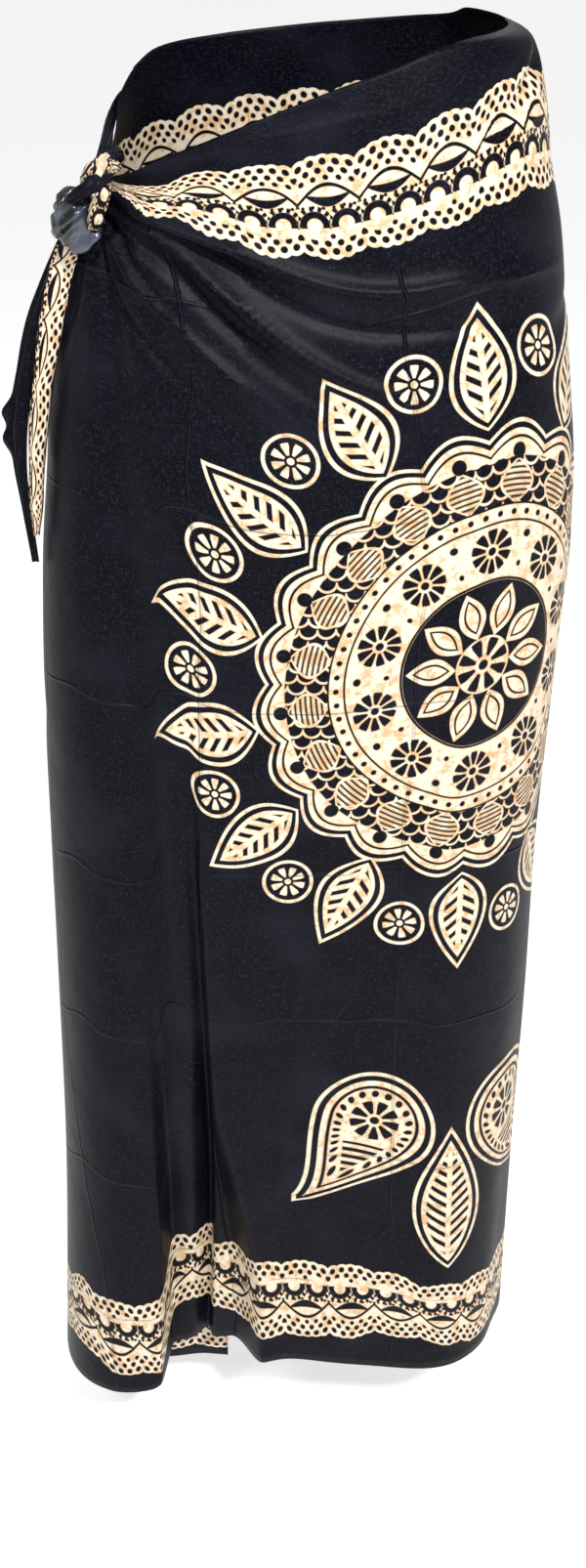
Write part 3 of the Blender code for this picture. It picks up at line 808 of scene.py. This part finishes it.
# Rows of eyelets in the lace, as pairs of how far in from its scallops they lie and their radius
OUTER_EYELETS = ((0.0038, 0.0020), (0.0090, 0.0018), (0.0136, 0.0015))
INNER_EYELETS = ((0.0038, 0.0020), (0.0088, 0.0018), (0.0132, 0.0014))
OUTER_SCALLOP = 0.0056
INNER_SCALLOP = 0.0042
SCALLOP_BUMP = 0.0012
CRESCENT_DOWN = PRINT_MARGIN + 0.0240
LENS_DOWN = PRINT_MARGIN + 0.0300
LENS_HEIGHT = 0.0125
DISC_DOWN = PRINT_MARGIN + 0.0425
DASHES_ROUND = 13


def lace(recipe, edge, along):
    """The lace-like band, 1 where it is cream, and its dark marks. edge is how far in the point is."""
    pitch = along * (1 / LENS_PITCH)
    wave = abs(recipe.sine(pitch * math.pi))
    bumps = abs(recipe.sine(pitch * (5 * math.pi))) * SCALLOP_BUMP
    from_outer = edge - PRINT_MARGIN + wave * OUTER_SCALLOP - 0.0052
    from_inner = PRINT_END - edge + wave * INNER_SCALLOP - 0.0036
    body = inside(recipe, -recipe.least(from_outer + bumps, from_inner + bumps))

    # rows of eyelets, which follow the scallops on both sides
    sides = (cell(pitch * 5) * (LENS_PITCH / 5), cell(pitch * 5 + 0.5) * (LENS_PITCH / 5))
    holes = []
    for start, eyelets in ((from_outer, OUTER_EYELETS), (from_inner, INNER_EYELETS)):
        for number, (down, radius) in enumerate(eyelets):
            holes.append(recipe.length(sides[number % 2], start - down) - radius)

    # lenses, each with a thin outline toward the edge and a dark crescent on its other side
    lens_low = edge - LENS_DOWN + recipe.sine((pitch % 1.0) * math.pi) * LENS_HEIGHT
    outline = abs(lens_low) - 0.0010
    middle = abs(cell(pitch))
    arch = recipe.cosine(middle * (math.pi / 0.8))
    down = edge - CRESCENT_DOWN
    crescent = recipe.most(down - arch * 0.0070, arch * 0.0016 - down, (middle - 0.36) * LENS_PITCH)
    in_lens = recipe.most(-lens_low, edge - (LENS_DOWN + 0.0005))
    spokes = recipe.most(
        band(abs(cell(pitch + 0.5)) * LENS_PITCH, (edge - LENS_DOWN) * 0.35, 0.0004),
        band(edge, LENS_DOWN - 0.0015, 0.0035),
    )

    # discs at twice the pitch, each cupped by a dark arc toward the edge and a row of dashes
    disc_across = cell(pitch * 2) * (LENS_PITCH / 2)
    disc_down = edge - DISC_DOWN
    disc = recipe.length(disc_across, disc_down)
    arc = recipe.most(band(disc, 0.0068, 0.0019), disc_down - 0.0014)
    dash = abs(cell(recipe.turn(disc_across, disc_down) * DASHES_ROUND)) * 0.0048 - 0.0010
    dashes = recipe.most(band(disc, 0.0104, 0.0014), dash, disc_down - 0.0020)
    swing = recipe.sine((pitch * 2 % 1.0) * math.pi) * 0.0012
    grains = recipe.length(cell(pitch * 6) * (LENS_PITCH / 6), edge - (LENS_DOWN + 0.0025) + swing) - 0.0009

    open_holes = recipe.most(recipe.least(*holes), 0.0008 - in_lens, 0.0088 - disc)
    dark = recipe.least(open_holes, outline, crescent, arc, dashes, grains, spokes)
    return body * (1 - inside(recipe, dark - 0.00022)), dark


def petals(recipe, turn, radius, count, near, far, fat):
    """A ring of almond petals between two radii."""
    side = cell(turn * count) * radius * (FULL_TURN / count)
    width = recipe.sine(recipe.scaled(radius, near, far) * math.pi) * fat
    return abs(side) - width + 0.0002


def daisy(recipe, x, y, radius, count):
    """A dot and a ring of petals that widen outwards."""
    reach = recipe.length(x, y)
    side = abs(cell(recipe.turn(x, y) * count)) * reach * (FULL_TURN / count)
    width = recipe.scaled(reach, radius * 0.30, radius * 0.82, radius * 0.05, radius * 0.20)
    petal = recipe.most(side - width, reach - radius, radius * 0.34 - reach)
    return recipe.least(petal, reach - radius * 0.19)


# The medallion: where it lies on the flat cloth, the radii of its rings, and how many parts are in each
MEDALLION_DOWN = 0.408
MEDALLION_ACROSS = 0.024
RIM_RADIUS = 0.146
SCALLOPS_ROUND = 20
FEATHER_RADII = (0.108, 0.138)
BEAD_RADIUS = 0.103
BEADS_ROUND = 60
DAISY_RADIUS = 0.080
DAISIES_ROUND = 10
HEART_RADII = (0.020, 0.056)
LEAF_RADIUS = 0.164
LEAVES_ROUND = 14
OUTER_DAISY_RADIUS = 0.206


def medallion(recipe, x, y, reach, turn, net):
    """A round medallion: rings of scallops, feathers, daisies and petals. Gives its rim and dark marks."""
    half_on = turn + 0.5 / DAISIES_ROUND
    rim = reach - RIM_RADIUS - abs(recipe.sine(turn * (SCALLOPS_ROUND * math.pi))) * 0.0100
    side = ring_across(turn, SCALLOPS_ROUND, RIM_RADIUS)
    cup = recipe.length(side, reach - (RIM_RADIUS - 0.0040)) - 0.0052
    scallops = (cup, abs(rim + 0.0050) - 0.0009)

    feather = petals(recipe, turn, reach, SCALLOPS_ROUND, *FEATHER_RADII, 0.0140)
    hatch = abs(cell(reach * 270)) - 0.22
    feathers = (
        recipe.most(feather + 0.0022, hatch * 0.002),
        recipe.most(band(reach, 0.1235, 0.0150), -feather, -net),
    )

    bead = recipe.length(ring_across(turn, BEADS_ROUND, BEAD_RADIUS), reach - BEAD_RADIUS) - 0.0020
    beads = (bead, band(reach, BEAD_RADIUS + 0.0055, 0.0007), band(reach, BEAD_RADIUS - 0.0055, 0.0007))

    side = ring_across(turn, DAISIES_ROUND, DAISY_RADIUS)
    between = ring_across(half_on, DAISIES_ROUND, DAISY_RADIUS)
    daisies = (
        daisy(recipe, side, reach - (DAISY_RADIUS - 0.0010), 0.0150, 10),
        recipe.length(between, reach - (DAISY_RADIUS + 0.0090)) - 0.0026,
        recipe.length(between, reach - (DAISY_RADIUS - 0.0110)) - 0.0020,
    )

    petal = petals(recipe, half_on, reach, DAISIES_ROUND, *HEART_RADII, 0.0100)
    heart = (
        recipe.most(reach - 0.0580, 0.0205 - reach, -petal),
        recipe.most(abs(petal + 0.0046) - 0.0008, 0.022 - reach),
        daisy(recipe, x, y, 0.0190, 8),
        band(reach, 0.0590, 0.0009),
    )
    return rim, recipe.least(*scallops, *feathers, *beads, *daisies, *heart)


def mango(recipe, x, y, size):
    """A drop, pointed at the top and bent to one side. Gives its outline and dark parts."""
    x = x * (1 / size)
    y = y * (1 / size)
    up = recipe.most(recipe.least(y * (1 / 2.3), 1.3), 0.0)
    bend = x - up * up * 0.95
    width = recipe.cosine(recipe.least(up, 1.0) * (math.pi / 2)) ** 1.25
    width = width - recipe.most(up - 1.0, 0.0) * 2.4
    outline = (recipe.length(bend, recipe.least(y, 0.0)) - width) * 0.75
    line = abs(outline + 0.12) - 0.026
    beads = recipe.length(cell(recipe.turn(bend, y - 0.3) * 24) * 0.22, outline + 0.24) - 0.060
    flower = daisy(recipe, x, y + 0.02, 0.48, 9)
    stripes = recipe.most(abs(cell(y * 5.5)) * 0.18 - 0.045, 0.62 - y, outline + 0.36)
    return outline * size, recipe.least(line, beads, flower, stripes) * size


def leaf(recipe, x, y, long, wide, veins):
    """A pointed leaf along y from 0, with a midrib and slanting veins. Gives its outline and dark parts."""
    middle = recipe.most(recipe.least((y - long / 2) * (2 / long), 1.8), -1.8)
    off = abs(x)
    outline = (off - (1 - middle * middle) * (1 - middle * 0.28) * wide) * 0.85
    vein = (abs(cell((y - off * 0.75) * (veins / long))) - 0.22) * (long / veins)
    return outline, recipe.most(vein, 0.0024 - off, outline + 0.0034)


NET_PITCH = 0.0125
NET_DROP = 0.0085


def net_line(recipe, s, t):
    """The lines of a fish-scale net, used as a filling."""
    row = recipe.maths("FLOOR", t * (1 / NET_DROP))
    x = cell(s * (1 / NET_PITCH) + (row % 2.0) * 0.5) * NET_PITCH
    y = ((t * (1 / NET_DROP)) % 1.0) * NET_DROP
    return band(recipe.length(x, y), 0.0066, 0.0009)


# Motifs below the medallion, each with its twin on the medallion's other side
PAIRED_MOTIFS = table(
    "kind across down size turn",
    ("mango", 0.062, 0.795, 0.04, 168),
    ("leaf", 0, 0.925, 0.12, 0),
)


def field(recipe, s, t):
    """The motifs of the middle of the cloth, repeated along it: their cream shapes and dark marks."""
    repeat = chosen().motif_repeat
    x = (s - MEDALLION_ACROSS + repeat / 2) % repeat - repeat / 2
    y = t - MEDALLION_DOWN
    reach = recipe.length(x, y)
    turn = recipe.turn(x, y)
    motifs = [medallion(recipe, x, y, reach, turn, net_line(recipe, s, t))]

    # leaves and daisies that stand out from the medallion all round
    side = ring_across(turn, LEAVES_ROUND, 1.0) * reach
    motifs.append(leaf(recipe, side, reach - LEAF_RADIUS, 0.066, 0.0165, 7))
    between = ring_across(turn + 0.5 / LEAVES_ROUND, LEAVES_ROUND, OUTER_DAISY_RADIUS)
    flower = daisy(recipe, between, reach - OUTER_DAISY_RADIUS, 0.0125, 8)

    for motif in PAIRED_MOTIFS:
        way = math.radians(180 + motif.turn)
        across = abs(x) - motif.across
        down = t - motif.down
        px = across * math.cos(way) + down * math.sin(way)
        py = down * math.cos(way) - across * math.sin(way)
        if motif.kind == "mango":
            motifs.append(mango(recipe, px, py, motif.size))
        else:
            motifs.append(leaf(recipe, px, py, motif.size, motif.size * 0.19, 12))

    outlines = [outline for outline, dark in motifs]
    darks = [recipe.most(dark, outline) for outline, dark in motifs]
    return recipe.least(*outlines, flower), recipe.least(*darks)


# The cloth's surface: its gloss, how fine its noises are, how high they stand, and its fold lines
CLOTH_SHINE = 0.075
KNOT_SHINE = 0.80
# The knot's near-black dye, and the lighter blue-grey of a painted sheen laid along its crumple folds
KNOT_DARK = (0.002, 0.003, 0.006, 1)
KNOT_PAINTED_SHEEN = (0.042, 0.052, 0.078, 1)
BLOTCH_SCALE = 110.0
WEAR_SCALE = 16.0
RUMPLE_SCALE = 24.0
CRACKLE_SCALE = 150.0
WARP_SCALES = (240.0, 1000.0, 1.0)
WEFT_SCALES = (1000.0, 240.0, 1.0)
CRUMPLE_SCALES = (42.0, 250.0, 1.0)
SLUB_HEIGHT = 0.00008
RUMPLE_HEIGHT = 0.0014
CRUMPLE_HEIGHT = 0.0022
CREASE_HEIGHT = 0.0016
CREASE_PITCH = 0.150
CREASE_DROP = 0.1334
CREASE_WIDTH = 0.0017


def crease_lines(recipe, s, t):
    """Ridges left by folding the flat cloth: straight lines both ways, broken up along their length. The
    mask drives the bump and a painted highlight along the lines.
    """
    spot = recipe.node("ShaderNodeCombineXYZ", {0: s, 1: t, 2: 0.0})
    breaks = recipe.noise(spot, 9.0, 2.0)
    wander = (breaks - 0.5) * 0.012
    along = (s + wander + 0.248) % CREASE_PITCH - CREASE_PITCH / 2
    down = (t + wander * 0.7 + 0.0367) % CREASE_DROP - CREASE_DROP / 2
    lines = recipe.most(
        recipe.step(abs(along), CREASE_WIDTH, 0.0) * recipe.step(breaks, 0.34, 0.50),
        recipe.step(abs(down), CREASE_WIDTH, 0.0) * recipe.step(breaks, 0.42, 0.56),
    )
    return lines * recipe.step(t, 0.110, 0.135)


class Ground:
    """What the stretches of the printed cloth share: its coordinates, weave and near-black colour, with a
    painted highlight along its crease lines.
    """

    def __init__(self, recipe):
        self.recipe = recipe
        self.s, self.t, self.place = recipe.chart("cloth")
        self.blotch = recipe.noise(self.place, BLOTCH_SCALE, 2.0, 0.6)
        wear = recipe.noise(self.place, WEAR_SCALE, 3.0)
        warp = recipe.streaks(self.place, WARP_SCALES, 1.0)
        slub = recipe.most(warp, recipe.streaks(self.place, WEFT_SCALES, 1.0))
        rumple = recipe.noise(self.place, RUMPLE_SCALE, 3.0)
        creases = crease_lines(recipe, self.s, self.t)
        self.bump = recipe.bump(slub * SLUB_HEIGHT + rumple * RUMPLE_HEIGHT + creases * CREASE_HEIGHT)
        # Lighter in worn patches and along slubs, which is the cloth's own tone, and along the crease
        # lines, which is a painted highlight on the fold ridges
        wear_and_crease_highlight = recipe.most(
            recipe.step(wear, 0.42, 0.78) * 0.35, creases * 0.40, recipe.step(slub, 0.54, 0.82) * 0.85
        )
        self.colour = recipe.blend(wear_and_crease_highlight, opaque(chosen().ground_colour), opaque(chosen().worn_and_crease_highlight_colour))
        self.roughness = recipe.step(slub, 0.2, 0.8) * 0.12 + 0.38

    def shader(self, colour):
        return self.recipe.surface(colour, self.roughness, self.bump, CLOTH_SHINE)

    def printed(self, cream, dark):
        """The cloth with its print, cream with tan crackle and blotches and a tan rim beside dark marks."""
        recipe = self.recipe
        crackle = recipe.node(
            "ShaderNodeTexVoronoi",
            {"Vector": self.place, "Scale": CRACKLE_SCALE},
            feature="DISTANCE_TO_EDGE",
        )
        lines = recipe.step(crackle, 0.10, 0.02) * recipe.step(self.blotch, 0.44, 0.60) * 0.80
        patches = recipe.step(self.blotch, 0.48, 0.68) * 0.65
        beside = recipe.step(dark, 0.0015, 0.0001) * recipe.step(self.blotch, 0.30, 0.60) * 0.75
        tan = recipe.most(lines, patches, beside)
        pale = recipe.blend(tan, opaque(chosen().cream_colour), opaque(chosen().tan_colour))
        return self.shader(recipe.blend(cream, self.colour, pale))


def printed_rayon():
    """The cloth's finish: near-black rayon with its cream and tan wax print."""
    recipe = Recipe("printed_rayon")
    ground = Ground(recipe)
    s, t = ground.s, ground.t
    side = recipe.chart("ends")[0]

    # how far the nearest edge of the flat cloth is, and the way along it
    by_top = recipe.least(t, CLOTH_DROP - t)
    edge = recipe.least(side, by_top)
    along = s + (side < by_top) * (t - s)
    laced = ground.printed(*lace(recipe, edge, along))

    shape, marks = field(recipe, s, t)
    stem = inside(recipe, band(shape, 0.0050, 0.0013))
    cream = recipe.most(inside(recipe, shape) * (1 - inside(recipe, marks)), stem)
    figured = ground.printed(cream, marks)

    in_lace = (edge > PRINT_MARGIN - 0.004) * (edge < PRINT_END + 0.006)
    in_field = (by_top > PRINT_END + 0.014) * (side > PRINT_END + 0.03)
    middle = recipe.mixed(in_field, ground.shader(ground.colour), figured)
    return recipe.finished(recipe.mixed(in_lace, middle, laced))


def crumpled_rayon():
    """The knot's dark stretches: the same rayon, drawn tight and lustrous, with fine crumples and a painted
    sheen, lighter blue-grey along the crumple folds.
    """
    recipe = Recipe("knot_rayon")
    folds = recipe.streaks(recipe.chart("cloth")[2], CRUMPLE_SCALES, 2.0)
    # Painted sheen: the colour turns lighter blue-grey on the crests of the crumple noise
    painted_sheen = recipe.blend(recipe.step(folds, 0.46, 0.66), KNOT_DARK, KNOT_PAINTED_SHEEN)
    return recipe.finished(recipe.surface(painted_sheen, 0.24, recipe.bump(folds * CRUMPLE_HEIGHT), KNOT_SHINE))


def select_only(piece):
    bpy.ops.object.select_all(action="DESELECT")
    piece.select_set(True)
    bpy.context.view_layer.objects.active = piece


def dress(piece, nodes):
    piece.data.materials.append(finish_named("printed_rayon"))
    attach(piece, "root")
    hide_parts(*nodes)


FINISHES = {}


def finish_named(name):
    """The finish of that name, made when it is first asked for."""
    if name not in FINISHES:
        FINISHES[name] = {"printed_rayon": printed_rayon, "knot_rayon": crumpled_rayon}[name]()
    return FINISHES[name]


def row_lengths(spots):
    """The length along each row of the grid, from its first column."""
    steps = np.linalg.norm(np.diff(spots, axis=1), axis=-1)
    return np.concatenate([np.zeros((len(spots), 1)), np.cumsum(steps, axis=1)], axis=1)


def along_the_cloth(share, lengths):
    """How far along the flat cloth each point of the outer layer is from the middle of its front."""
    anchor = int(np.argmin(np.abs(outer_columns(share)[1] - LEFT_ANGLE)))
    return lengths - lengths[:, anchor:anchor + 1] + LEFT_ALONG


def cloth_charts(across, down, side=FAR_FROM_SIDE):
    """The UV maps of a stretch: its place on the flat cloth, and how far in from the edges it is."""
    return {
        "cloth": np.stack([across, down], axis=-1),
        "ends": np.stack([side + 0 * down, down], axis=-1),
    }


def build_outer_layer():
    share = np.linspace(0, 1, chosen().columns)
    drop = through(ROW_SHARES, ROW_DROPS, np.linspace(0, 1, chosen().rows))
    spots, angle, height = outer_layer(*np.meshgrid(share, drop))
    lengths = row_lengths(spots)
    down = down_the_cloth(
        angle, height, edge_height(HEM, angle), edge_height(LACE_HEM_OUTER, angle),
        edge_height(LACE_HEM_INNER, angle), LACE_TOP_OUTER, LACE_TOP_INNER,
    )
    tucked = SIDE_PRINT_TUCK * rise(height, -0.75, 0.5)
    side = np.minimum(lengths[-1] + SIDE_PRINT_START, FAR_FROM_SIDE) + tucked
    piece = cloth_object("outer_cloth", spots, cloth_charts(along_the_cloth(share, lengths), down, side))
    dress(
        piece, ("wrap_front", "wrap_back"),
    )


def build_underlap():
    drop = np.linspace(0, 1, UNDERLAP_ROWS)
    spots, angle, height = underlap_layer(*np.meshgrid(np.linspace(0, 1, UNDERLAP_COLUMNS), drop))
    lace_outer = edge_height(UNDERLAP_HEM, angle) + UNDERLAP_HEM_MARGIN
    down = down_the_cloth(
        angle, height, edge_height(UNDERLAP_HEM, angle), lace_outer, lace_outer + UNDERLAP_LACE_WIDTH,
        UNDERLAP_LACE_TOP_OUTER, UNDERLAP_LACE_TOP_INNER,
    )

    # its print carries on from the end of the back
    share = np.linspace(0, 1, BACK_COLUMNS)
    back_spots, _, back_height = outer_layer(*np.meshgrid(share, drop))
    back_along = along_the_cloth(share, row_lengths(back_spots))
    lengths = row_lengths(spots)
    start = np.interp(height, back_height[::-1, -1], back_along[::-1, -1])
    piece = cloth_object("underlap_cloth", spots, cloth_charts(lengths + start, down))
    dress(
        piece, ("underlap",),
    )


def stops_value(stops, share, column):
    places = np.linspace(0, 1, len(stops))
    return through(places, [getattr(stop, column) for stop in stops], share)


def middle_line(stops, share):
    if hasattr(stops[0], "angle"):
        angle, out, height = (stops_value(stops, share, column) for column in ("angle", "out", "z"))
        return figure_point(angle, height, out)
    return np.stack([stops_value(stops, share, column) for column in "xyz"], axis=-1)


def line_length(stops, share):
    steps = np.diff(middle_line(stops, share), axis=0)
    return float(np.linalg.norm(steps, axis=-1).sum())


def clear_of_cloth(spots, gap):
    """Moves points out to where they lie on the outer layer, if they would be inside it."""
    centre = np.zeros_like(spots)
    centre[..., 0] = column_value(FIGURE, spots[..., 2], "centre")
    centre[..., 2] = spots[..., 2]
    reach = spots - centre
    angle = np.degrees(np.arctan2(reach[..., 0], -reach[..., 1]))
    least = np.linalg.norm(outer_point(angle, spots[..., 2]) - centre, axis=-1) + gap
    behind_knot = fall(angle, -76, 6) * rise(spots[..., 2], -0.10, 0.03)
    least -= SUNK_BEHIND_KNOT * behind_knot
    length = np.linalg.norm(reach, axis=-1)
    return centre + reach * (np.maximum(length, least) / length)[..., None]


def crumpled(spots, amount):
    """Small smooth dents and bulges, laid by a sum of waves that run in uneven directions."""
    x, y, z = (spots[..., k] / CRUMPLE_GRAIN for k in range(3))
    wave = (
        np.sin(1.7 * x + 2.9 * y - 1.1 * z + 0.4)
        + np.sin(-2.3 * x + 1.2 * y + 3.1 * z + 1.9)
        + 0.7 * np.sin(4.1 * x - 2.2 * y + 2.7 * z + 0.8)
        + 0.5 * np.sin(3.3 * x + 5.1 * y + 4.4 * z + 2.5)
    )
    return amount * wave / 2


def unit(ways):
    return ways / np.linalg.norm(ways, axis=-1)[:, None]


def strand_grid(strand):
    """A closed loft along the stations of a strand, with pleats that twist along it."""
    share = np.linspace(0, 1, STRAND_RINGS)
    middle = middle_line(strand.stations, share)
    along = unit(np.gradient(middle, axis=0))
    outward = middle - np.array([BODY_CENTRE, 0, 0])
    outward[:, 2] = 0
    outward = unit(outward - along * np.sum(outward * along, axis=-1)[:, None])
    across = np.cross(along, outward)
    closing = np.sqrt(np.clip(1 - np.abs(2 * share - 1) ** 5, 0, 1))
    ring_share, ring_turn = np.meshgrid(share, np.linspace(0, 2 * np.pi, STRAND_SIDES), indexing="ij")
    twist = ring_turn + strand.twist * 2 * np.pi * (ring_share - 0.5) * 0.35
    pleat = (
        1
        + strand.pleat_depth * np.cos(strand.pleats * twist)
        + strand.pleat_depth * 0.55 * np.cos((2 * strand.pleats + 1) * twist + 4 * ring_share)
        + strand.pleat_depth * 0.30 * np.cos((3 * strand.pleats + 2) * twist - 5 * ring_share + 1)
    )
    thick = (stops_value(strand.stations, share, "thick") / 2 * closing)[:, None]
    broad = (stops_value(strand.stations, share, "broad") / 2 * closing)[:, None]
    spots = (
        middle[:, None, :]
        + outward[:, None, :] * (thick * pleat * np.sin(ring_turn))[..., None]
        + across[:, None, :] * (broad * pleat * np.cos(ring_turn))[..., None]
    )
    way = spots - middle[:, None, :]
    size = np.maximum(np.linalg.norm(way, axis=-1), 1e-6)
    spots += way / size[..., None] * (crumpled(spots, strand.crumple) * closing[:, None])[..., None]
    return clear_of_cloth(spots, 0.0006), ring_share, ring_turn


def build_knot():
    parts = []
    for strand in STRANDS:
        spots, share, turn = strand_grid(strand)
        along = share * line_length(strand.stations, share[:, 0]) * 1.3 + 0.31
        edge = strand.edge_start + (strand.edge_end - strand.edge_start) * (0.5 - 0.5 * np.cos(turn))
        piece = cloth_object(strand.name, spots, cloth_charts(along, edge), solid=True)
        piece.data.materials.append(finish_named(strand.finish))
        parts.append(piece)
    knot = parts[0]
    select_only(knot)
    for piece in parts:
        piece.select_set(True)
    bpy.ops.object.join()
    knot.name = "tied_knot"
    knot.data.name = "tied_knot"
    close_up(knot)
    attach(knot, "root")
    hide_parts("knot")


def close_up(piece):
    """Merges the points where a loft meets itself, so that it is closed, and points its faces outwards."""
    select_only(piece)
    bpy.ops.object.mode_set(mode="EDIT")
    bpy.ops.mesh.select_all(action="SELECT")
    bpy.ops.mesh.remove_doubles(threshold=0.00002)
    bpy.ops.mesh.normals_make_consistent(inside=False)
    bpy.ops.object.mode_set(mode="OBJECT")
    piece.data.shade_smooth()


def tail_grid(tail):
    """A narrow sheet that hangs along the stops, its width in soft S folds that shift on the way down."""
    share, drop = np.meshgrid(np.linspace(0, 1, TAIL_COLUMNS), np.linspace(0, 1, TAIL_ROWS))
    middle = middle_line(tail.stops, drop)
    outward = facing(stops_value(tail.stops, drop, "facing"))
    across = np.stack([-outward[..., 1], outward[..., 0], np.zeros_like(drop)], axis=-1)
    depth = chosen().tail_fold * (0.5 + 0.5 * np.sin(np.pi * np.minimum(1.0, drop + 0.15)))
    wave = np.sin(2 * np.pi * tail.waves * share + 0.6 + 0.7 * drop)
    wave += 0.25 * np.sin(2 * np.pi * 2.3 * tail.waves * share + 5 * drop)
    ragged = 0.10 * np.sin(9 * drop + 3 * share) + 0.06 * np.sin(23 * drop + 1)
    edge = stops_value(tail.stops, drop, "broad") * (share - 0.5 + ragged * (share - 0.5))
    spots = middle + across * edge[..., None] + outward * (depth * wave)[..., None]
    if tail.ruffle_drop:
        ripple = 0.0060 + 0.0030 * np.sin(60 * drop + 6 * share)
        spots[..., 0] -= bell(drop - tail.ruffle_drop, 0.07) * ripple * fall(share, 0.8, 0.8)
    return clear_of_cloth(spots, 0.0012), share, drop


def build_tails():
    for tail in TAILS:
        spots, share, drop = tail_grid(tail)
        length = line_length(tail.stops, drop[:, 0])
        edge_end = tail.edge_end - tail.margin * smooth(drop / 0.6)
        edge = tail.edge_start + (edge_end - tail.edge_start) * share
        piece = cloth_object(tail.name, spots, cloth_charts(drop * length + 0.02, edge))
        dress(piece, (tail.node,))


def build_camera_and_stage():
    view = bpy.data.cameras.new("photo_view")
    view.sensor_width = 36
    view.lens = CAMERA_LENS
    eye = linked("photo_view", view)
    eye.location = CAMERA_PLACE
    eye.rotation_euler = (math.radians(90 - CAMERA_TILT), 0, 0)
    bpy.context.scene.camera = eye

    bpy.ops.object.select_all(action="DESELECT")
    bpy.ops.mesh.primitive_plane_add(size=FLOOR_SIZE, location=(0, 0, FLOOR_HEIGHT))
    floor = bpy.context.active_object
    floor.name = "pale_floor"
    recipe = Recipe("pale_floor")
    sockets = {"Base Color": FLOOR_COLOUR, "Roughness": 0.9, "Emission Color": WHITE}
    sockets["Emission Strength"] = FLOOR_GLOW
    floor.data.materials.append(recipe.finished(recipe.node("ShaderNodeBsdfPrincipled", sockets)))

    sky = bpy.data.worlds.new("soft_room")
    sky.use_nodes = True
    sky.node_tree.nodes["Background"].inputs["Color"].default_value = WHITE
    sky.node_tree.nodes["Background"].inputs["Strength"].default_value = ROOM_LIGHT
    bpy.context.scene.world = sky
    bpy.context.scene.view_settings.view_transform = "Standard"
    for light in LIGHTS:
        lamp = bpy.data.lights.new(light.name, "AREA")
        lamp.size = light.size
        lamp.energy = light.power
        holder = linked(light.name, lamp)
        holder.location = light.place
        holder.rotation_euler = (LIGHT_AIM - Vector(light.place)).to_track_quat("-Z", "Y").to_euler()


class SARONG_OT_outer_cloth(bpy.types.Operator):
    """Adds the outer layer, from the free side edge round the front, left and back"""

    bl_idname = "sarong.outer_cloth"
    bl_label = "Outer Cloth"

    def execute(self, context):
        build_outer_layer()
        return {"FINISHED"}


class SARONG_OT_underlap(bpy.types.Operator):
    """Adds the inner end of the cloth, which lies under the outer layer at the right"""

    bl_idname = "sarong.underlap"
    bl_label = "Underlap"

    def execute(self, context):
        build_underlap()
        return {"FINISHED"}


class SARONG_OT_knot(bpy.types.Operator):
    """Adds the knot at the right hip, from its crumpled and pleated strands"""

    bl_idname = "sarong.knot"
    bl_label = "Knot"

    def execute(self, context):
        build_knot()
        return {"FINISHED"}


class SARONG_OT_tails(bpy.types.Operator):
    """Adds the two tails that hang below the knot"""

    bl_idname = "sarong.tails"
    bl_label = "Tails"

    def execute(self, context):
        build_tails()
        return {"FINISHED"}


class SARONG_OT_stage(bpy.types.Operator):
    """Adds the camera, the pale floor and the soft lights"""

    bl_idname = "sarong.stage"
    bl_label = "Stage"

    def execute(self, context):
        build_camera_and_stage()
        return {"FINISHED"}


STEPS = (SARONG_OT_outer_cloth, SARONG_OT_underlap, SARONG_OT_knot, SARONG_OT_tails, SARONG_OT_stage)


class SARONG_PT_panel(bpy.types.Panel):
    bl_idname = "SARONG_PT_panel"
    bl_label = "Batik Sarong"
    bl_space_type = "VIEW_3D"
    bl_region_type = "UI"
    bl_category = "Sarong"

    def draw(self, context):
        for name in SarongSizes.__annotations__:
            self.layout.prop(context.scene.sarong_sizes, name)
        for step in STEPS:
            self.layout.operator(step.bl_idname)


CLASSES = (SarongSizes, *STEPS, SARONG_PT_panel)


def register():
    for kind in CLASSES:
        bpy.utils.register_class(kind)
    bpy.types.Scene.sarong_sizes = bpy.props.PointerProperty(type=SarongSizes)


def unregister():
    del bpy.types.Scene.sarong_sizes
    for kind in reversed(CLASSES):
        bpy.utils.unregister_class(kind)


def main():
    register()
    bpy.ops.object.select_all(action="DESELECT")
    for step in STEPS:
        group, name = step.bl_idname.split(".")
        if getattr(getattr(bpy.ops, group), name)() != {"FINISHED"}:
            raise RuntimeError(step.bl_label + " did not finish")


if __name__ == "__main__":
    main()
